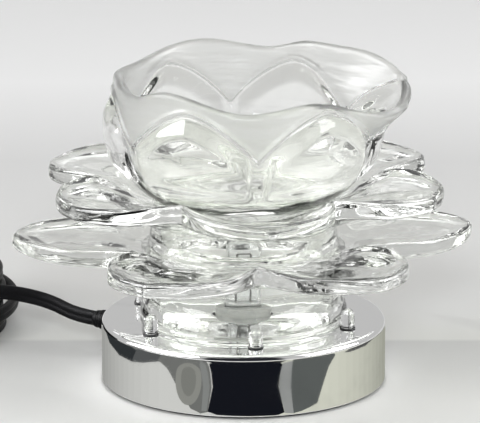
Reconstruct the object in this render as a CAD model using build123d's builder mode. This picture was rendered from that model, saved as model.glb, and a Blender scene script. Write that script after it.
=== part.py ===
from build123d import *
import os
from math import cos, pi, radians, sin, sqrt, tan

# Electric wax melt warmer: a chrome touch base with a capsule lamp, a pressed glass
# lotus of two petal tiers that stands over the lamp, and a lift-off glass dish.
# Millimetres, +Z up, origin on the table under the middle of the base, -Y to the front.

os.makedirs("parts", exist_ok=True)

# Clearances between pieces
fit_gap = 0.1
seat_gap = 0.2
easy_gap = 0.4
loose_gap = 0.8
overrun = 2.0

# Base shell
base_radius = 55.0
base_top = 25.0
base_lift = 1.0
shell_wall = 1.2
shell_edge = 2.2
hem_height = 1.7
hem_out = 0.5
shell_inside = base_radius - shell_wall
shell_under = base_top - shell_wall

# Base plate, pad and the posts that hold the plate
pad_thick = 2.0
pad_inset = 2.5
pad_radius = base_radius - pad_inset
pad_width = 16.0
plate_thick = 1.2
plate_radius = shell_inside - easy_gap
plate_top = pad_thick + plate_thick
vent_count = 8
vent_radius = 4.0
vent_ring_radius = 27.0
post_count = 3
post_radius = 3.2
post_gap = 4.1
post_ring_radius = shell_inside - post_radius - post_gap
screw_radius = 1.5
screw_length = 11.0
screw_head_radius = 2.8
screw_head_height = 1.4
screw_recess_radius = 4.0

# Foot of the glass, and the rest pegs that stand round it
foot_inset = 15.0
foot_radius = base_radius - foot_inset
petal_count = 6
petal_step = 360 / petal_count
front = -90
peg_radius = 2.65
peg_gap = 0.95
peg_ring_radius = foot_radius + peg_radius + peg_gap
peg_height = 7.4
peg_stem_radius = 1.5
peg_stem_length = 5.0
washer_radius = 3.0
washer_thick = 0.5
push_nut_radius = 3.6
push_nut_thick = 0.9

# Lampholder, its contacts, its bracket and its screws
holder_radius = 11.0
holder_top = 31.0
holder_bottom = 9.0
holder_edge = 0.8
holder_slot_length = 14.5
holder_slot_width = 5.6
holder_slot_depth = 4.0
pin_half_pitch = 4.5
contact_radius = 1.9
contact_wall = 0.5
contact_length = 12.0
strap_thick = 1.2
strap_width = 12.0
strap_half_span = 14.0
strap_foot = 8.0
holder_screw_pitch = 3.5
holder_screw_radius = 1.25
holder_screw_head_radius = 2.0
holder_screw_head_height = 1.5
holder_screw_length = 5.0

# Capsule bulb
capsule_radius = 6.6
capsule_wall = 1.0
capsule_top = 60.0
capsule_tip_radius = 1.2
capsule_tip_height = 1.5
pinch_length = 13.5
pinch_width = 4.2
pinch_top = 34.5
pin_radius = 0.9
pin_length = 8.0
filament_radius = 0.5
filament_half_width = 2.6
filament_rise = 15.0

# Touch dimmer module on the base plate
tape_thick = 0.8
module_end_gap = 2.05
module_length = post_ring_radius - 2 * post_radius - 2 * module_end_gap
module_gap = 9.0
module_front_gap = 9.8
module_width = shell_inside - holder_radius - module_gap - module_front_gap
module_height = 12.6
module_wall = 1.2
module_centre_y = -holder_radius - module_gap - module_width / 2
board_thick = 1.6
board_gap = 1.0
board_post_radius = 1.5
board_post_height = 2.6
triac_length = 10.0
triac_width = 4.4
triac_height = 4.6
capacitor_radius = 2.4
capacitor_length = 11.0
chip_length = 7.0
chip_width = 4.4
chip_height = 1.8

# Wires and crimp caps
wire_radius = 0.9
wire_bend = 1.9
wire_z = 6.2
crimp_radius = 3.5
crimp_wall = 0.7
crimp_length = 15.0
crimp_depth = 11.0
crimp_x = 6.0
crimp_end_gap = 12.8
crimp_y = shell_inside - crimp_length - crimp_end_gap
crimp_lead_offset = 1.5
wire_insert = 8.0
wire_entry = 2.5
core_pitch = 3.0
core_drop_length = 7.6
core_shift = 3.9
line_core_shift = 0.9
core_gap = 9.0
sense_x = 26.0
sense_y = -12.0
lead_y = 7.9
terminal_ring_radius = 3.1
terminal_thick = 0.8
terminal_z = 16.0
barrel_radius = 1.4
barrel_bore = 1.0
barrel_length = 3.2
tail_width = 2.0
terminal_nut_radius = 2.7
terminal_nut_thick = 2.2

# Mains cord, its exit, its coil, its tie and its plug
cord_radius = 3.0
exit_angle = 146
exit_z = 14.8
exit_length = 9.0
exit_reach = base_radius + exit_length
gland_neck_radius = 4.6
gland_collar_radius = 5.4
gland_collar_thick = 1.6
gland_flange_radius = 5.8
gland_flange_thick = 1.8
gland_root_radius = 4.9
gland_tip_radius = 3.9
gland_tail = 10.0
cord_inner_length = 24.0
coil_outer = 41.5
coil_pitch = 7.7
coil_layer = 6.6
lead_run = 12.7
lead_first_run = 10.8
lead_headings = (144, 166, 188)
lead_slopes = (18.5, 12.5, 9.7)
lead_last_heading = 204
tail_headings = (216, 228, 240)
tail_slopes = (5, 10, 0)
tail_run = 11.5
tie_thick = 0.8
tie_width = 4.0
tie_corner = 3.0
plug_length = 36.0
plug_width = 24.0
plug_thick = 13.8
plug_neck_end = 5.0
plug_edge = 3.5
plug_neck_radius = 4.2
plug_neck_length = 14.0
blade_length = 17.0
blade_width = 6.4
blade_thick = 1.5
blade_half_pitch = 6.35
blade_seat = 6.0

# Glass foot ring under the flowers
foot_wall = 5.0
foot_top = 47.0
foot_edge = 2.4

# Lower flower: six broad petals, nearly flat
lower_reach = 89.0
lower_notch_share = 0.561797752809
lower_notch = lower_reach * lower_notch_share
lower_side_share = 0.853932584270
lower_side = lower_reach * lower_side_share
lower_side_angle = 18.0
lower_hole = 24.0
lower_rim_top = 60.5
lower_rim_thick = 5.6
lower_rise = 3.2
lower_floor_top = 55.0
lower_under = 50.5

# Upper flower: six petals turned half a petal, dished in the middle
upper_reach = 83.0
upper_notch_share = 0.692771084337
upper_notch = upper_reach * upper_notch_share
upper_side_share = 0.915662650602
upper_side = upper_reach * upper_side_share
upper_side_angle = 18.0
upper_hole = 14.0
upper_rim_top = 82.0
upper_rim_thick = 5.6
upper_shoulder = 57.0
upper_shoulder_drop = 4.0
upper_floor_radius = 30.0
upper_floor_top = 70.0
upper_floor_thick = 5.0
upper_neck_inset = 3.0
upper_neck_radius = foot_radius - upper_neck_inset
upper_neck_wall = 6.0

# Lift-off dish
dish_foot_radius = 25.0
dish_belly_radius = 51.5
dish_belly_z = 99.0
dish_rim_radius = 52.6
dish_rim_top = 124.5
dish_wall = 4.0
dish_floor_thick = 5.0
dish_low_radius = 42.0
dish_low_z = 79.0
relief_out = 2.6
relief_top = 115.5
relief_valley = 97.5
relief_half_width = 23.6
relief_low_radius = 51.9
relief_low_z = 90.5
relief_belly_z = 103.0
relief_root = 2.0
wave_depth = 6.5
wave_radius = 34.0
lobe_angle = -4
lobe_centre = 34.0
lobe_depth = 30.5
lobe_half_width = 33.0
lobe_rise_shares = (-0.1, 0.24, 0.47, 0.7, 1)
lobe_depth_shares = (0.46, 0.61, 0.75, 0.92, 1)
lobe_width_shares = (0.82, 0.97, 1.02, 1.01, 1)
lobe_top_share = 1.05


def polar(radius, angle, z=0.0):
    """Point at a radius and an angle in degrees round the upright axis."""
    return (radius * cos(radians(angle)), radius * sin(radians(angle)), z)


def heading(angle):
    """Level unit vector at an angle in degrees."""
    return Vector(cos(radians(angle)), sin(radians(angle)), 0)


def save(piece, name):
    """Label a finished sub-part and write it."""
    piece.label = name
    export_step(piece, f"parts/{name}.step")


def wire_run(points, radius, bend):
    """Round wire along straight runs with one bend radius."""
    with BuildPart() as run:
        with BuildLine() as path:
            if len(points) > 2:
                FilletPolyline(*points, radius=bend)
            else:
                Line(*points)
        with BuildSketch(Plane(origin=path.line @ 0, z_dir=path.line % 0)):
            Circle(radius)
        sweep()
    return run.part


# Base shell: a spun steel cup, chrome plated, with a rolled hem. It is the touch sensor.
holder_hole = holder_radius + loose_gap
with BuildPart() as base_shell:
    with BuildSketch(Plane.XZ) as shell_section:
        with BuildLine():
            Polyline(
                (base_radius, base_lift),
                (base_radius, base_top),
                (holder_hole, base_top),
                (holder_hole, shell_under),
                (shell_inside, shell_under),
                (shell_inside, base_lift),
                close=True,
            )
        make_face()
        outer_corner = shell_section.vertices().sort_by(Axis.X)[-2:].sort_by(Axis.Y)[-1]
        fillet(outer_corner, radius=shell_edge)
    revolve(axis=Axis.Z)
    with BuildSketch(Plane.XY.offset(base_lift)):
        Circle(base_radius + hem_out)
        Circle(shell_inside, mode=Mode.SUBTRACT)
    extrude(amount=hem_height)
    with BuildSketch(Plane.XY.offset(shell_under - overrun)):
        with PolarLocations(peg_ring_radius, petal_count, start_angle=front):
            Circle(peg_stem_radius + fit_gap)
    extrude(amount=shell_wall + 2 * overrun, mode=Mode.SUBTRACT)
    exit_plane = Plane(
        origin=polar(shell_inside - overrun, exit_angle, exit_z),
        z_dir=heading(exit_angle),
    )
    with BuildSketch(exit_plane):
        Circle(gland_neck_radius + fit_gap)
    extrude(amount=shell_wall + 2 * overrun, mode=Mode.SUBTRACT)
save(base_shell.part, "base_shell")

# Base plate: closes the cup from below, vented round the lamp
post_start = front + petal_step / 2
with BuildPart() as base_plate:
    with BuildSketch(Plane.XY.offset(pad_thick)):
        Circle(plate_radius)
        with PolarLocations(post_ring_radius, post_count, start_angle=post_start):
            Circle(screw_radius + seat_gap, mode=Mode.SUBTRACT)
        with PolarLocations(vent_ring_radius, vent_count):
            Circle(vent_radius, mode=Mode.SUBTRACT)
    extrude(amount=plate_thick)
save(base_plate.part, "base_plate")

# Foot pad: a ring of dark foam, let in round the screw heads
with BuildPart() as foot_pad:
    with BuildSketch():
        Circle(pad_radius)
        Circle(pad_radius - pad_width, mode=Mode.SUBTRACT)
        with PolarLocations(post_ring_radius, post_count, start_angle=post_start):
            Circle(screw_recess_radius, mode=Mode.SUBTRACT)
    extrude(amount=pad_thick)
save(foot_pad.part, "foot_pad")

# Posts: welded under the top of the cup, tapped for the plate screws
with BuildPart() as shell_posts:
    with BuildSketch(Plane.XY.offset(plate_top)):
        with PolarLocations(post_ring_radius, post_count, start_angle=post_start):
            Circle(post_radius)
            Circle(screw_radius + fit_gap, mode=Mode.SUBTRACT)
    extrude(amount=shell_under - plate_top)
save(shell_posts.part, "shell_posts")

with BuildPart() as plate_screws:
    with BuildSketch(Plane.XY.offset(pad_thick - screw_head_height)):
        with PolarLocations(post_ring_radius, post_count, start_angle=post_start):
            Circle(screw_head_radius)
    extrude(amount=screw_head_height)
    with BuildSketch(Plane.XY.offset(pad_thick)):
        with PolarLocations(post_ring_radius, post_count, start_angle=post_start):
            Circle(screw_radius)
    extrude(amount=screw_length)
save(plate_screws.part, "plate_screws")

# Rest pegs: round-topped clear pins, each with a washer and a push nut
peg_foot = base_top + washer_thick
for index in range(petal_count):
    peg_x, peg_y, _ = polar(peg_ring_radius, front + index * petal_step)
    with BuildPart() as rest_peg:
        with BuildSketch(Plane.XY.offset(peg_foot)) as peg_section:
            with Locations((peg_x, peg_y)):
                Circle(peg_radius)
        extrude(amount=peg_height)
        fillet(rest_peg.edges().sort_by(Axis.Z)[-1], radius=peg_radius - seat_gap)
        with BuildSketch(Plane.XY.offset(peg_foot - peg_stem_length)):
            with Locations((peg_x, peg_y)):
                Circle(peg_stem_radius)
        extrude(amount=peg_stem_length)
    save(rest_peg.part, f"rest_peg_{index + 1}")

with BuildPart() as peg_washers:
    with BuildSketch(Plane.XY.offset(base_top)):
        with PolarLocations(peg_ring_radius, petal_count, start_angle=front):
            Circle(washer_radius)
            Circle(peg_stem_radius + fit_gap, mode=Mode.SUBTRACT)
    extrude(amount=washer_thick)
save(peg_washers.part, "peg_washers")

with BuildPart() as peg_push_nuts:
    with BuildSketch(Plane.XY.offset(shell_under - push_nut_thick)):
        with PolarLocations(peg_ring_radius, petal_count, start_angle=front):
            Circle(push_nut_radius)
            Circle(peg_stem_radius + fit_gap, mode=Mode.SUBTRACT)
    extrude(amount=push_nut_thick)
save(peg_push_nuts.part, "peg_push_nuts")

# Lampholder: a ceramic body with a slot for the pinch and two bores for the contacts
contact_top = holder_top - holder_slot_depth
contact_places = [(-pin_half_pitch, 0), (pin_half_pitch, 0)]
holder_screw_places = [(0, -holder_screw_pitch), (0, holder_screw_pitch)]
with BuildPart() as lamp_holder:
    with BuildSketch(Plane.XY.offset(holder_bottom)):
        Circle(holder_radius)
    extrude(amount=holder_top - holder_bottom)
    fillet(lamp_holder.edges().group_by(Axis.Z)[-1], radius=holder_edge)
    with BuildSketch(Plane.XY.offset(contact_top)):
        SlotOverall(holder_slot_length, holder_slot_width)
    extrude(amount=holder_slot_depth, mode=Mode.SUBTRACT)
    with BuildSketch(Plane.XY.offset(contact_top - contact_length)):
        with Locations(*contact_places):
            Circle(contact_radius)
    extrude(amount=contact_length, mode=Mode.SUBTRACT)
    with BuildSketch(Plane.XY.offset(holder_bottom)):
        with Locations(*holder_screw_places):
            Circle(holder_screw_radius + fit_gap)
    extrude(amount=holder_screw_length, mode=Mode.SUBTRACT)
save(lamp_holder.part, "lamp_holder")

with BuildPart() as holder_contacts:
    with BuildSketch(Plane.XY.offset(contact_top - contact_length)):
        with Locations(*contact_places):
            Circle(contact_radius - fit_gap)
            Circle(contact_radius - fit_gap - contact_wall, mode=Mode.SUBTRACT)
    extrude(amount=contact_length - seat_gap)
save(holder_contacts.part, "holder_contacts")

# Holder bracket: a steel strap hung from the top of the cup by two welded feet
strap_under = holder_bottom - strap_thick
with BuildPart() as holder_bracket:
    with BuildSketch(Plane.XZ) as strap_section:
        with BuildLine():
            strap_line = Polyline(
                (-strap_half_span - strap_foot, shell_under),
                (-strap_half_span, shell_under),
                (-strap_half_span, holder_bottom),
                (strap_half_span, holder_bottom),
                (strap_half_span, shell_under),
                (strap_half_span + strap_foot, shell_under),
            )
            offset(strap_line, amount=strap_thick, side=Side.RIGHT, kind=Kind.INTERSECTION)
        make_face()
    extrude(amount=strap_width / 2, both=True)
    with BuildSketch(Plane.XY.offset(strap_under)):
        with Locations(*holder_screw_places):
            Circle(holder_screw_radius + seat_gap)
    extrude(amount=strap_thick, mode=Mode.SUBTRACT)
    with BuildSketch(Plane.YZ.offset(strap_half_span)):
        with Locations((0, terminal_z)):
            Circle(screw_radius + seat_gap)
    extrude(amount=strap_thick, mode=Mode.SUBTRACT)
save(holder_bracket.part, "holder_bracket")

with BuildPart() as bracket_screws:
    with BuildSketch(Plane.XY.offset(strap_under - holder_screw_head_height)):
        with Locations(*holder_screw_places):
            Circle(holder_screw_head_radius)
    extrude(amount=holder_screw_head_height)
    with BuildSketch(Plane.XY.offset(strap_under)):
        with Locations(*holder_screw_places):
            Circle(holder_screw_radius)
    extrude(amount=holder_screw_length)
save(bracket_screws.part, "bracket_screws")

# Capsule bulb: quartz envelope with a flat pinch, two pins and the filament
pinch_bottom = contact_top + seat_gap
capsule_bottom = pinch_top - capsule_wall
with BuildPart() as bulb_capsule:
    with BuildSketch(Plane.XZ) as capsule_section:
        with BuildLine():
            shoulder = capsule_top - capsule_radius
            Line((0, capsule_bottom), (capsule_radius, capsule_bottom))
            Line((capsule_radius, capsule_bottom), (capsule_radius, shoulder))
            RadiusArc((capsule_radius, shoulder), (0, capsule_top), -capsule_radius)
            Line((0, capsule_top), (0, capsule_bottom))
        make_face()
        inner_radius = capsule_radius - capsule_wall
        with BuildLine():
            Line((0, pinch_top), (inner_radius, pinch_top))
            Line((inner_radius, pinch_top), (inner_radius, shoulder))
            RadiusArc((inner_radius, shoulder), (0, shoulder + inner_radius), -inner_radius)
            Line((0, shoulder + inner_radius), (0, pinch_top))
        make_face(mode=Mode.SUBTRACT)
    revolve(axis=Axis.Z)
    with BuildSketch(Plane.XY.offset(pinch_bottom)):
        SlotOverall(pinch_length, pinch_width)
    extrude(amount=capsule_bottom - pinch_bottom)
    with BuildSketch(Plane.XY.offset(capsule_top - capsule_wall)):
        Circle(capsule_tip_radius)
    extrude(amount=capsule_wall + capsule_tip_height)
save(bulb_capsule.part, "bulb_capsule")

with BuildPart() as bulb_pins:
    with BuildSketch(Plane.XY.offset(pinch_bottom - pin_length)):
        with Locations(*contact_places):
            Circle(pin_radius)
    extrude(amount=pin_length)
save(bulb_pins.part, "bulb_pins")

filament_foot = pinch_top + fit_gap
filament_top = filament_foot + filament_rise
filament_points = [
    (-filament_half_width, 0, filament_foot),
    (-filament_half_width, 0, filament_top),
    (filament_half_width, 0, filament_top),
    (filament_half_width, 0, filament_foot),
]
save(wire_run(filament_points, filament_radius, 2 * filament_radius), "bulb_filament")

# Touch dimmer module: a small open case with a lid, taped to the base plate
lead_x = crimp_x - crimp_lead_offset
supply_x = crimp_x + crimp_lead_offset
module_bottom = plate_top + tape_thick
module_top = module_bottom + module_height
board_bottom = module_bottom + module_wall + board_post_height
board_top = board_bottom + board_thick
board_length = module_length - 2 * module_wall - 2 * board_gap
board_width = module_width - 2 * module_wall - 2 * board_gap

with BuildPart() as module_tape:
    with BuildSketch(Plane.XY.offset(plate_top)):
        with Locations((0, module_centre_y)):
            Rectangle(module_length - 2 * module_wall, module_width - 2 * module_wall)
    extrude(amount=tape_thick)
save(module_tape.part, "module_tape")

with BuildPart() as touch_module_case:
    with BuildSketch(Plane.XY.offset(module_bottom)):
        with Locations((0, module_centre_y)):
            Rectangle(module_length, module_width)
    extrude(amount=module_height)
    with BuildSketch(Plane.XY.offset(module_bottom + module_wall)):
        with Locations((0, module_centre_y)):
            Rectangle(module_length - 2 * module_wall, module_width - 2 * module_wall)
    extrude(amount=module_height, mode=Mode.SUBTRACT)
    with BuildSketch(Plane.XY.offset(module_bottom + module_wall)):
        with Locations((0, module_centre_y)):
            with GridLocations(
                board_length - 2 * board_post_radius,
                board_width - 2 * board_post_radius,
                2,
                2,
            ):
                Circle(board_post_radius)
    extrude(amount=board_post_height)
    with BuildSketch(Plane(origin=(0, module_centre_y, wire_z), z_dir=(1, 0, 0))):
        Circle(wire_radius + fit_gap)
    extrude(amount=module_length / 2, both=True, mode=Mode.SUBTRACT)
    with BuildSketch(Plane(origin=(supply_x, module_centre_y, wire_z), z_dir=(0, 1, 0))):
        Circle(wire_radius + fit_gap)
    extrude(amount=module_width / 2, mode=Mode.SUBTRACT)
save(touch_module_case.part, "touch_module_case")

with BuildPart() as touch_module_lid:
    with BuildSketch(Plane.XY.offset(module_top)):
        with Locations((0, module_centre_y)):
            Rectangle(module_length, module_width)
    extrude(amount=module_wall)
    with BuildSketch(Plane.XY.offset(module_top)):
        with Locations((0, module_centre_y)):
            Rectangle(
                module_length - 2 * module_wall - 2 * seat_gap,
                module_width - 2 * module_wall - 2 * seat_gap,
            )
            Rectangle(
                module_length - 4 * module_wall,
                module_width - 4 * module_wall,
                mode=Mode.SUBTRACT,
            )
    extrude(amount=-module_wall)
save(touch_module_lid.part, "touch_module_lid")

with BuildPart() as touch_board:
    with BuildSketch(Plane.XY.offset(board_bottom)):
        with Locations((0, module_centre_y)):
            Rectangle(board_length, board_width)
    extrude(amount=board_thick)
save(touch_board.part, "touch_board")

with BuildPart() as board_triac:
    with BuildSketch(Plane.XY.offset(board_top)):
        with Locations((board_length / 4, module_centre_y + board_width / 4)):
            Rectangle(triac_length, triac_width)
    extrude(amount=triac_height)
save(board_triac.part, "board_triac")

capacitor_start = (
    -board_length / 4 - capacitor_length / 2,
    module_centre_y + board_width / 4,
    board_top + capacitor_radius,
)
with BuildPart() as board_capacitor:
    with BuildSketch(Plane(origin=capacitor_start, z_dir=(1, 0, 0))):
        Circle(capacitor_radius)
    extrude(amount=capacitor_length)
save(board_capacitor.part, "board_capacitor")

with BuildPart() as board_chip:
    with BuildSketch(Plane.XY.offset(board_top)):
        with Locations((0, module_centre_y - board_width / 4)):
            Rectangle(chip_length, chip_width)
    extrude(amount=chip_height)
save(board_chip.part, "board_chip")

# Crimp caps: closed-end sleeves that join the leads, lying on the base plate
crimp_z = plate_top + crimp_radius
with BuildPart() as crimp_caps:
    with BuildSketch(Plane(origin=(0, crimp_y, crimp_z), x_dir=(1, 0, 0), z_dir=(0, 1, 0))):
        with Locations((-crimp_x, 0), (crimp_x, 0)):
            Circle(crimp_radius)
    extrude(amount=crimp_length)
    with BuildSketch(Plane(origin=(0, crimp_y, crimp_z), x_dir=(1, 0, 0), z_dir=(0, 1, 0))):
        with Locations((-crimp_x, 0), (crimp_x, 0)):
            Circle(crimp_radius - crimp_wall)
    extrude(amount=crimp_depth, mode=Mode.SUBTRACT)
save(crimp_caps.part, "crimp_caps")

# Leads inside the base: two from the lampholder, two cores of the cord, one from the module
wire_tip_y = crimp_y + wire_insert
for side, name in ((-1, "holder_lead_neutral"), (1, "holder_lead_load")):
    lead_points = [
        (side * lead_x, lead_y, holder_bottom),
        (side * lead_x, lead_y, wire_z),
        (side * lead_x, wire_tip_y, wire_z),
    ]
    save(wire_run(lead_points, wire_radius, wire_bend), name)

module_rear_y = module_centre_y + module_width / 2
load_points = [
    (supply_x, module_rear_y - wire_entry, wire_z),
    (supply_x, wire_tip_y, wire_z),
]
save(wire_run(load_points, wire_radius, wire_bend), "module_load_lead")

module_side_x = module_length / 2
core_reach = exit_reach - cord_inner_length
core_start = Vector(*polar(core_reach, exit_angle, exit_z))
core_turn = Vector(*polar(core_reach - core_drop_length, exit_angle, exit_z))
core_offset = heading(exit_angle + 90) * (core_pitch / 2)
core_x = core_turn.X + core_shift
core_y = crimp_y - core_gap
neutral_points = [
    core_start - core_offset,
    core_turn - core_offset,
    (core_x, core_y, wire_z),
    (-supply_x, core_y, wire_z),
    (-supply_x, wire_tip_y, wire_z),
]
save(wire_run(neutral_points, wire_radius, wire_bend), "supply_neutral")

line_core_x = core_turn.X + line_core_shift
line_points = [
    core_start + core_offset,
    core_turn + core_offset,
    (line_core_x, lead_y, wire_z),
    (line_core_x, module_centre_y, wire_z),
    (wire_entry - module_side_x, module_centre_y, wire_z),
]
save(wire_run(line_points, wire_radius, wire_bend), "supply_line")

# Touch sense wire: from the module to a ring terminal screwed to the bracket leg
leg_face = strap_half_span + strap_thick
barrel_x = leg_face + barrel_radius
barrel_top = terminal_z - terminal_ring_radius + fit_gap
sense_points = [
    (module_side_x - wire_entry, module_centre_y, wire_z),
    (sense_x, module_centre_y, wire_z),
    (sense_x, sense_y, wire_z),
    (barrel_x, 0, wire_z),
    (barrel_x, 0, barrel_top - fit_gap),
]
save(wire_run(sense_points, wire_radius, wire_bend), "sense_wire")

with BuildPart() as ring_terminal:
    with BuildSketch(Plane.YZ.offset(leg_face)):
        with Locations((0, terminal_z)):
            Circle(terminal_ring_radius)
        with Locations((0, barrel_top)):
            Rectangle(tail_width, 2 * barrel_radius)
        with Locations((0, terminal_z)):
            Circle(screw_radius + seat_gap, mode=Mode.SUBTRACT)
    extrude(amount=terminal_thick)
    with BuildSketch(Plane.XY.offset(barrel_top)):
        with Locations((barrel_x, 0)):
            Circle(barrel_radius)
    extrude(amount=-barrel_length)
    with BuildSketch(Plane.XY.offset(barrel_top)):
        with Locations((barrel_x, 0)):
            Circle(barrel_bore)
    extrude(amount=-barrel_length, mode=Mode.SUBTRACT)
save(ring_terminal.part, "ring_terminal")

terminal_face = leg_face + terminal_thick
nut_face = strap_half_span - terminal_nut_thick
with BuildPart() as terminal_screw:
    with BuildSketch(Plane.YZ.offset(terminal_face)):
        with Locations((0, terminal_z)):
            Circle(screw_head_radius)
    extrude(amount=screw_head_height)
    with BuildSketch(Plane.YZ.offset(nut_face)):
        with Locations((0, terminal_z)):
            Circle(screw_radius)
    extrude(amount=terminal_face - nut_face)
save(terminal_screw.part, "terminal_screw")

with BuildPart() as terminal_nut:
    with BuildSketch(Plane.YZ.offset(nut_face)):
        with Locations((0, terminal_z)):
            RegularPolygon(terminal_nut_radius, side_count=6)
            Circle(screw_radius + fit_gap, mode=Mode.SUBTRACT)
    extrude(amount=terminal_nut_thick)
save(terminal_nut.part, "terminal_nut")

# Strain relief: a moulded bush in the wall of the cup, tapering along the cord
bush_plane = Plane(
    origin=(0, 0, exit_z),
    x_dir=heading(exit_angle),
    z_dir=heading(exit_angle - 90),
)
cord_bore = cord_radius + fit_gap
collar_face = shell_inside - easy_gap
flange_face = base_radius + fit_gap
with BuildPart() as strain_relief:
    with BuildSketch(bush_plane):
        with BuildLine():
            Polyline(
                (shell_inside - gland_tail, cord_bore),
                (shell_inside - gland_tail, gland_neck_radius),
                (collar_face - gland_collar_thick, gland_neck_radius),
                (collar_face - gland_collar_thick, gland_collar_radius),
                (collar_face, gland_collar_radius),
                (collar_face, gland_neck_radius),
                (flange_face, gland_neck_radius),
                (flange_face, gland_flange_radius),
                (flange_face + gland_flange_thick, gland_flange_radius),
                (flange_face + gland_flange_thick, gland_root_radius),
                (exit_reach, gland_tip_radius),
                (exit_reach, cord_bore),
                close=True,
            )
        make_face()
    revolve(axis=Axis((0, 0, exit_z), heading(exit_angle)))
save(strain_relief.part, "strain_relief")

inner_points = [polar(exit_reach, exit_angle, exit_z), core_start]
save(wire_run(inner_points, cord_radius, wire_bend), "cord_inner")


def free_cord(points, name):
    """Cord along straight runs, each corner an arc as large as its two runs allow."""
    radii = []
    for before, corner, after in zip(points, points[1:], points[2:]):
        turn = (corner - before).get_angle(after - corner)
        shorter = min((corner - before).length, (after - corner).length)
        radii.append(0.45 * shorter / tan(radians(turn / 2)))
    print(name, "bend radii", [round(radius, 1) for radius in radii])
    with BuildPart() as tube:
        with BuildLine() as path:
            FilletPolyline(*points, radius=radii)
        with BuildSketch(Plane(origin=path.line @ 0, z_dir=path.line % 0)):
            Circle(cord_radius)
        sweep()
    length = sum(edge.length for edge in path.edges())
    ratio = tube.part.volume / (length * pi * cord_radius**2)
    print(name, "length", round(length, 1), "volume over section times length", round(ratio, 4))
    save(tube.part, name)
    return length


def run_step(angle, slope, length):
    """Straight run at a heading and a slope in degrees."""
    return (heading(angle) * cos(radians(slope)) + Vector(0, 0, sin(radians(slope)))) * length


# Lead: from the strain relief up and over to the top turn of the coil
lead_route = [Vector(*polar(exit_reach, exit_angle, exit_z))]
lead_route.append(lead_route[-1] + run_step(exit_angle, 0, lead_first_run))
for angle, slope in zip(lead_headings, lead_slopes):
    lead_route.append(lead_route[-1] + run_step(angle, slope, lead_run))
lead_route.append(lead_route[-1] + run_step(lead_last_heading, 0, lead_first_run))
lead_length = free_cord(lead_route, "cord_lead")

# Cord coil: seven turns, wound inwards and outwards in four layers, lying on its tie.
# The cord comes in on the top layer and leaves from the bottom one.
join_angle = lead_last_heading + 90
end_run = 2 * cord_radius
coil_top = lead_route[-1].Z
coil_join = lead_route[-1] + heading(lead_last_heading) * end_run
coil_axis = coil_join - heading(join_angle) * coil_outer - Vector(0, 0, coil_top)
coil_steps = ((-1, -1, -1), (1, 1, 1), (-1, -1, -1), (1, 1))
coil_nodes = [(coil_outer, 0)]
for layer, steps in enumerate(coil_steps):
    if layer > 0:
        coil_nodes.append((coil_nodes[-1][0], layer))
    for step in steps:
        coil_nodes.append((coil_nodes[-1][0] + step * coil_pitch / 2, layer))


def coil_point(radius, angle, depth):
    """Point on the middle line of the coil, depth in layers from the top."""
    return coil_axis + heading(angle) * radius + Vector(0, 0, coil_top - depth * coil_layer)


with BuildPart() as cord_coil:
    with BuildLine() as coil_line:
        angle = join_angle
        there = coil_join
        Line(lead_route[-1], there)
        for (radius, layer), (next_radius, next_layer) in zip(coil_nodes, coil_nodes[1:]):
            here = there
            there = coil_point(next_radius, angle - 180, next_layer)
            if next_layer > layer:
                bulge = sqrt(radius**2 + (coil_layer / 2) ** 2)
                middle = coil_point(bulge, angle - 90, (layer + next_layer) / 2)
                fall = TangentArc(here, middle, tangent=heading(angle - 90))
                TangentArc(middle, there, tangent=fall % 1)
            else:
                TangentArc(here, there, tangent=heading(angle - 90))
            angle -= 180
        coil_end = there + heading(angle - 90) * end_run
        Line(there, coil_end)
    with BuildSketch(Plane(origin=lead_route[-1], z_dir=heading(lead_last_heading))):
        Circle(cord_radius)
    sweep()
save(cord_coil.part, "cord_coil")
coil_length = sum(edge.length for edge in coil_line.edges())

# Tail: from the lowest turn of the coil to the plug beside it
tail_route = [coil_end, coil_end + heading(angle - 90) * tail_run]
for tail_angle, slope in zip(tail_headings, tail_slopes):
    tail_route.append(tail_route[-1] + run_step(tail_angle, slope, tail_run))
tail_length = free_cord(tail_route, "cord_tail")

coil_samples = []
for edge in coil_line.edges():
    count = round(edge.length / cord_radius)
    coil_samples += [edge @ (step / count) for step in range(count)]
least_gap = min(
    (a - b).length
    for index, a in enumerate(coil_samples)
    for b in coil_samples[index + 8:]
)
print("coil least gap to itself", round(least_gap - 2 * cord_radius, 2))
print("cord whole length", round(lead_length + coil_length + tail_length + cord_inner_length))
print("coil axis", coil_axis, "coil end", coil_end, "tail end", tail_route[-1])

# Tie: a flat band round the bundle, where two strands lie side by side in each layer
tie_angle = join_angle - 90
bundle_low = coil_outer - 5 * coil_pitch / 4 - cord_radius - easy_gap
bundle_high = coil_outer - coil_pitch / 4 + cord_radius + easy_gap
bundle_top = coil_top + cord_radius + easy_gap
tie_plane = Plane(
    origin=coil_axis + heading(tie_angle - 90) * (tie_width / 2),
    x_dir=heading(tie_angle),
    z_dir=heading(tie_angle + 90),
)
with BuildPart() as cord_tie:
    with BuildSketch(tie_plane):
        with Locations(((bundle_low + bundle_high) / 2, -(bundle_top + tie_thick) / 2)):
            RectangleRounded(
                bundle_high - bundle_low + 2 * tie_thick, bundle_top + tie_thick, tie_corner
            )
            RectangleRounded(
                bundle_high - bundle_low,
                bundle_top - tie_thick,
                tie_corner - tie_thick,
                mode=Mode.SUBTRACT,
            )
    extrude(amount=tie_width)
save(cord_tie.part, "cord_tie")

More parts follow.
